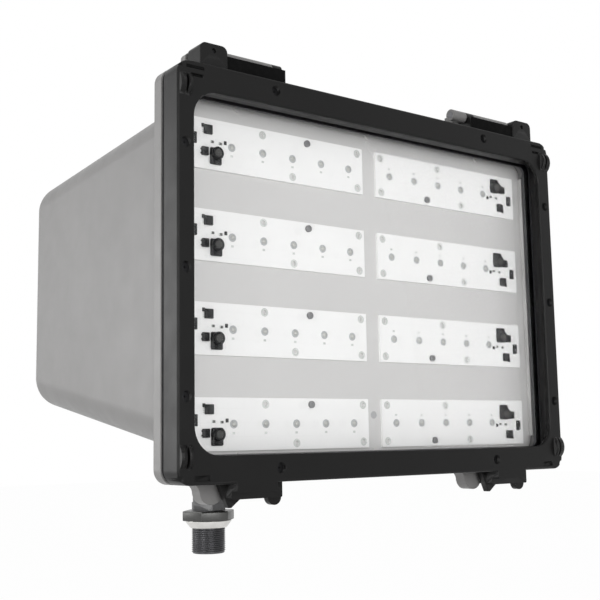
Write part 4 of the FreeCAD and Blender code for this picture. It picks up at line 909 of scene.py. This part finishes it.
class FLOODLIGHT_OT_chamber(bpy.types.Operator):
    """Finishes what the housing holds behind the gear plate"""

    bl_idname = "floodlight.chamber"
    bl_label = "Inside the housing"

    def execute(self, context):
        coat(heat_sink_left="plate_metal", heat_sink_right="plate_metal", ground_screw="steel",
             terminal_block="electric_plastic", surge_protector="electric_plastic", wire_bushing="gasket",
             supply_leads="lead_cover")
        return {"FINISHED"}


class FLOODLIGHT_OT_stage(bpy.types.Operator):
    """Sets the floor, the light and the camera"""

    bl_idname = "floodlight.stage"
    bl_label = "Stage"
    floor_drop: float = 0.2  # room for the head when it tilts down
    floor_half: float = 6.0
    floor_white: float = 0.98  # the rest of the floor's look takes the shadow
    # Name, place and size of each lamp, and the point that they all face
    lamps: tuple = (("key", (-0.45, -2.1, 0.3), 1.4), ("side", (-1.2, -0.45, 0.22), 0.6),
                    ("rim", (-1.2, 1.05, 0.33), 1.0))
    target: tuple = (0.0, -0.12, 0.18)
    # The camera's place, and the directions of its right and up
    eye: tuple = (-0.4571, -0.7488, 0.0934)
    right: tuple = (0.80348, -0.59511, -0.01646)
    up: tuple = (-0.06664, -0.11737, 0.99085)

    def floor(self, level):
        bm = bmesh.new()
        bmesh.ops.create_grid(bm, x_segments=1, y_segments=1, size=self.floor_half)
        bmesh.ops.translate(bm, vec=(0, 0, level), verts=bm.verts)
        mesh = bpy.data.meshes.new("floor")
        bm.to_mesh(mesh)
        bm.free()
        paint = bpy.data.materials.new("floor_paint")
        paint.use_nodes = True
        tree = paint.node_tree
        diffuse = tree.nodes["Principled BSDF"]
        diffuse.inputs["Base Color"].default_value = (0.86, 0.86, 0.86, 1)
        diffuse.inputs["Roughness"].default_value = 0.8
        glow = tree.nodes.new("ShaderNodeEmission")
        seen = self.seen_directly(tree)
        share = tree.nodes.new("ShaderNodeMath")
        share.operation = "MULTIPLY"
        share.inputs[1].default_value = self.floor_white
        mix = tree.nodes.new("ShaderNodeMixShader")
        tree.links.new(seen, share.inputs[0])
        tree.links.new(share.outputs[0], mix.inputs[0])
        tree.links.new(diffuse.outputs[0], mix.inputs[1])
        tree.links.new(glow.outputs[0], mix.inputs[2])
        tree.links.new(mix.outputs[0], tree.nodes["Material Output"].inputs["Surface"])
        mesh.materials.append(paint)
        floor = bpy.data.objects.new("floor", mesh)
        bpy.context.scene.collection.objects.link(floor)

    def seen_directly(self, tree):
        """1 for rays from the camera, from a mirror or through glass."""
        path = tree.nodes.new("ShaderNodeLightPath")
        total = path.outputs["Is Camera Ray"]
        for word in ("Is Glossy Ray", "Is Transmission Ray"):
            most = tree.nodes.new("ShaderNodeMath")
            most.operation = "MAXIMUM"
            tree.links.new(total, most.inputs[0])
            tree.links.new(path.outputs[word], most.inputs[1])
            total = most.outputs[0]
        return total

    def sky(self, strength):
        world = bpy.data.worlds.new("studio")
        world.use_nodes = True
        tree = world.node_tree
        background = tree.nodes["Background"]
        background.inputs["Color"].default_value = (1, 1, 1, 1)
        level = tree.nodes.new("ShaderNodeMapRange")
        level.inputs["To Min"].default_value = strength
        level.inputs["To Max"].default_value = 1.0
        tree.links.new(self.seen_directly(tree), level.inputs["Value"])
        tree.links.new(level.outputs["Result"], background.inputs["Strength"])
        bpy.context.scene.world = world

    def lamp(self, name, place, size, power):
        light = bpy.data.lights.new(name, "AREA")
        light.shape = "DISK"
        light.size = size
        light.energy = power
        thing = bpy.data.objects.new(name, light)
        thing.location = place
        thing.rotation_euler = (Vector(self.target) - Vector(place)).to_track_quat("-Z", "Y").to_euler()
        bpy.context.scene.collection.objects.link(thing)

    def camera(self, lens):
        data = bpy.data.cameras.new("camera")
        data.sensor_width = 36.0
        data.lens = lens
        data.clip_start = 0.01
        right, up = Vector(self.right), Vector(self.up)
        turn = Matrix((right, up, right.cross(up))).transposed().to_4x4()
        thing = bpy.data.objects.new("camera", data)
        thing.matrix_world = Matrix.Translation(self.eye) @ turn
        bpy.context.scene.collection.objects.link(thing)
        bpy.context.scene.camera = thing

    def execute(self, context):
        stage = context.scene.floodlight_stage
        context.scene.view_settings.view_transform = "Standard"
        self.floor(CAD_BOX[0][2] - self.floor_drop)
        self.sky(stage.sky)
        for name, place, size in self.lamps:
            self.lamp(name, place, size, getattr(stage, f"{name}_power"))
        self.camera(stage.lens)
        return {"FINISHED"}


class FLOODLIGHT_PT_panel(bpy.types.Panel):
    """Lists the pieces of the flood light"""

    bl_idname = "FLOODLIGHT_PT_panel"
    bl_label = "Flood light"
    bl_space_type = "VIEW_3D"
    bl_region_type = "UI"
    bl_category = "Flood light"

    def draw(self, context):
        for operator in OPERATORS:
            self.layout.operator(operator.bl_idname)


GROUPS = {"floodlight_colours": FloodLightColours, "floodlight_sizes": FloodLightSizes,
          "floodlight_stage": FloodLightStage}
OPERATORS = (FLOODLIGHT_OT_castings, FLOODLIGHT_OT_lens, FLOODLIGHT_OT_boards, FLOODLIGHT_OT_emitters,
             FLOODLIGHT_OT_components, FLOODLIGHT_OT_screws, FLOODLIGHT_OT_hinges, FLOODLIGHT_OT_latches,
             FLOODLIGHT_OT_knuckle, FLOODLIGHT_OT_nipple, FLOODLIGHT_OT_locknut, FLOODLIGHT_OT_chamber,
             FLOODLIGHT_OT_stage)


def register():
    for group in GROUPS.values():
        bpy.utils.register_class(group)
    for name, group in GROUPS.items():
        setattr(bpy.types.Scene, name, bpy.props.PointerProperty(type=group))
    for operator in OPERATORS:
        bpy.utils.register_class(operator)
    bpy.utils.register_class(FLOODLIGHT_PT_panel)


def unregister():
    bpy.utils.unregister_class(FLOODLIGHT_PT_panel)
    for operator in OPERATORS:
        bpy.utils.unregister_class(operator)
    for name, group in GROUPS.items():
        delattr(bpy.types.Scene, name)
        bpy.utils.unregister_class(group)


def main():
    register()
    scene = bpy.context.scene
    FINISHES.update(make_finishes(scene.floodlight_colours, scene.floodlight_sizes))
    for operator in OPERATORS:
        group, word = operator.bl_idname.split(".")
        getattr(getattr(bpy.ops, group), word)()


if __name__ == "__main__":
    main()
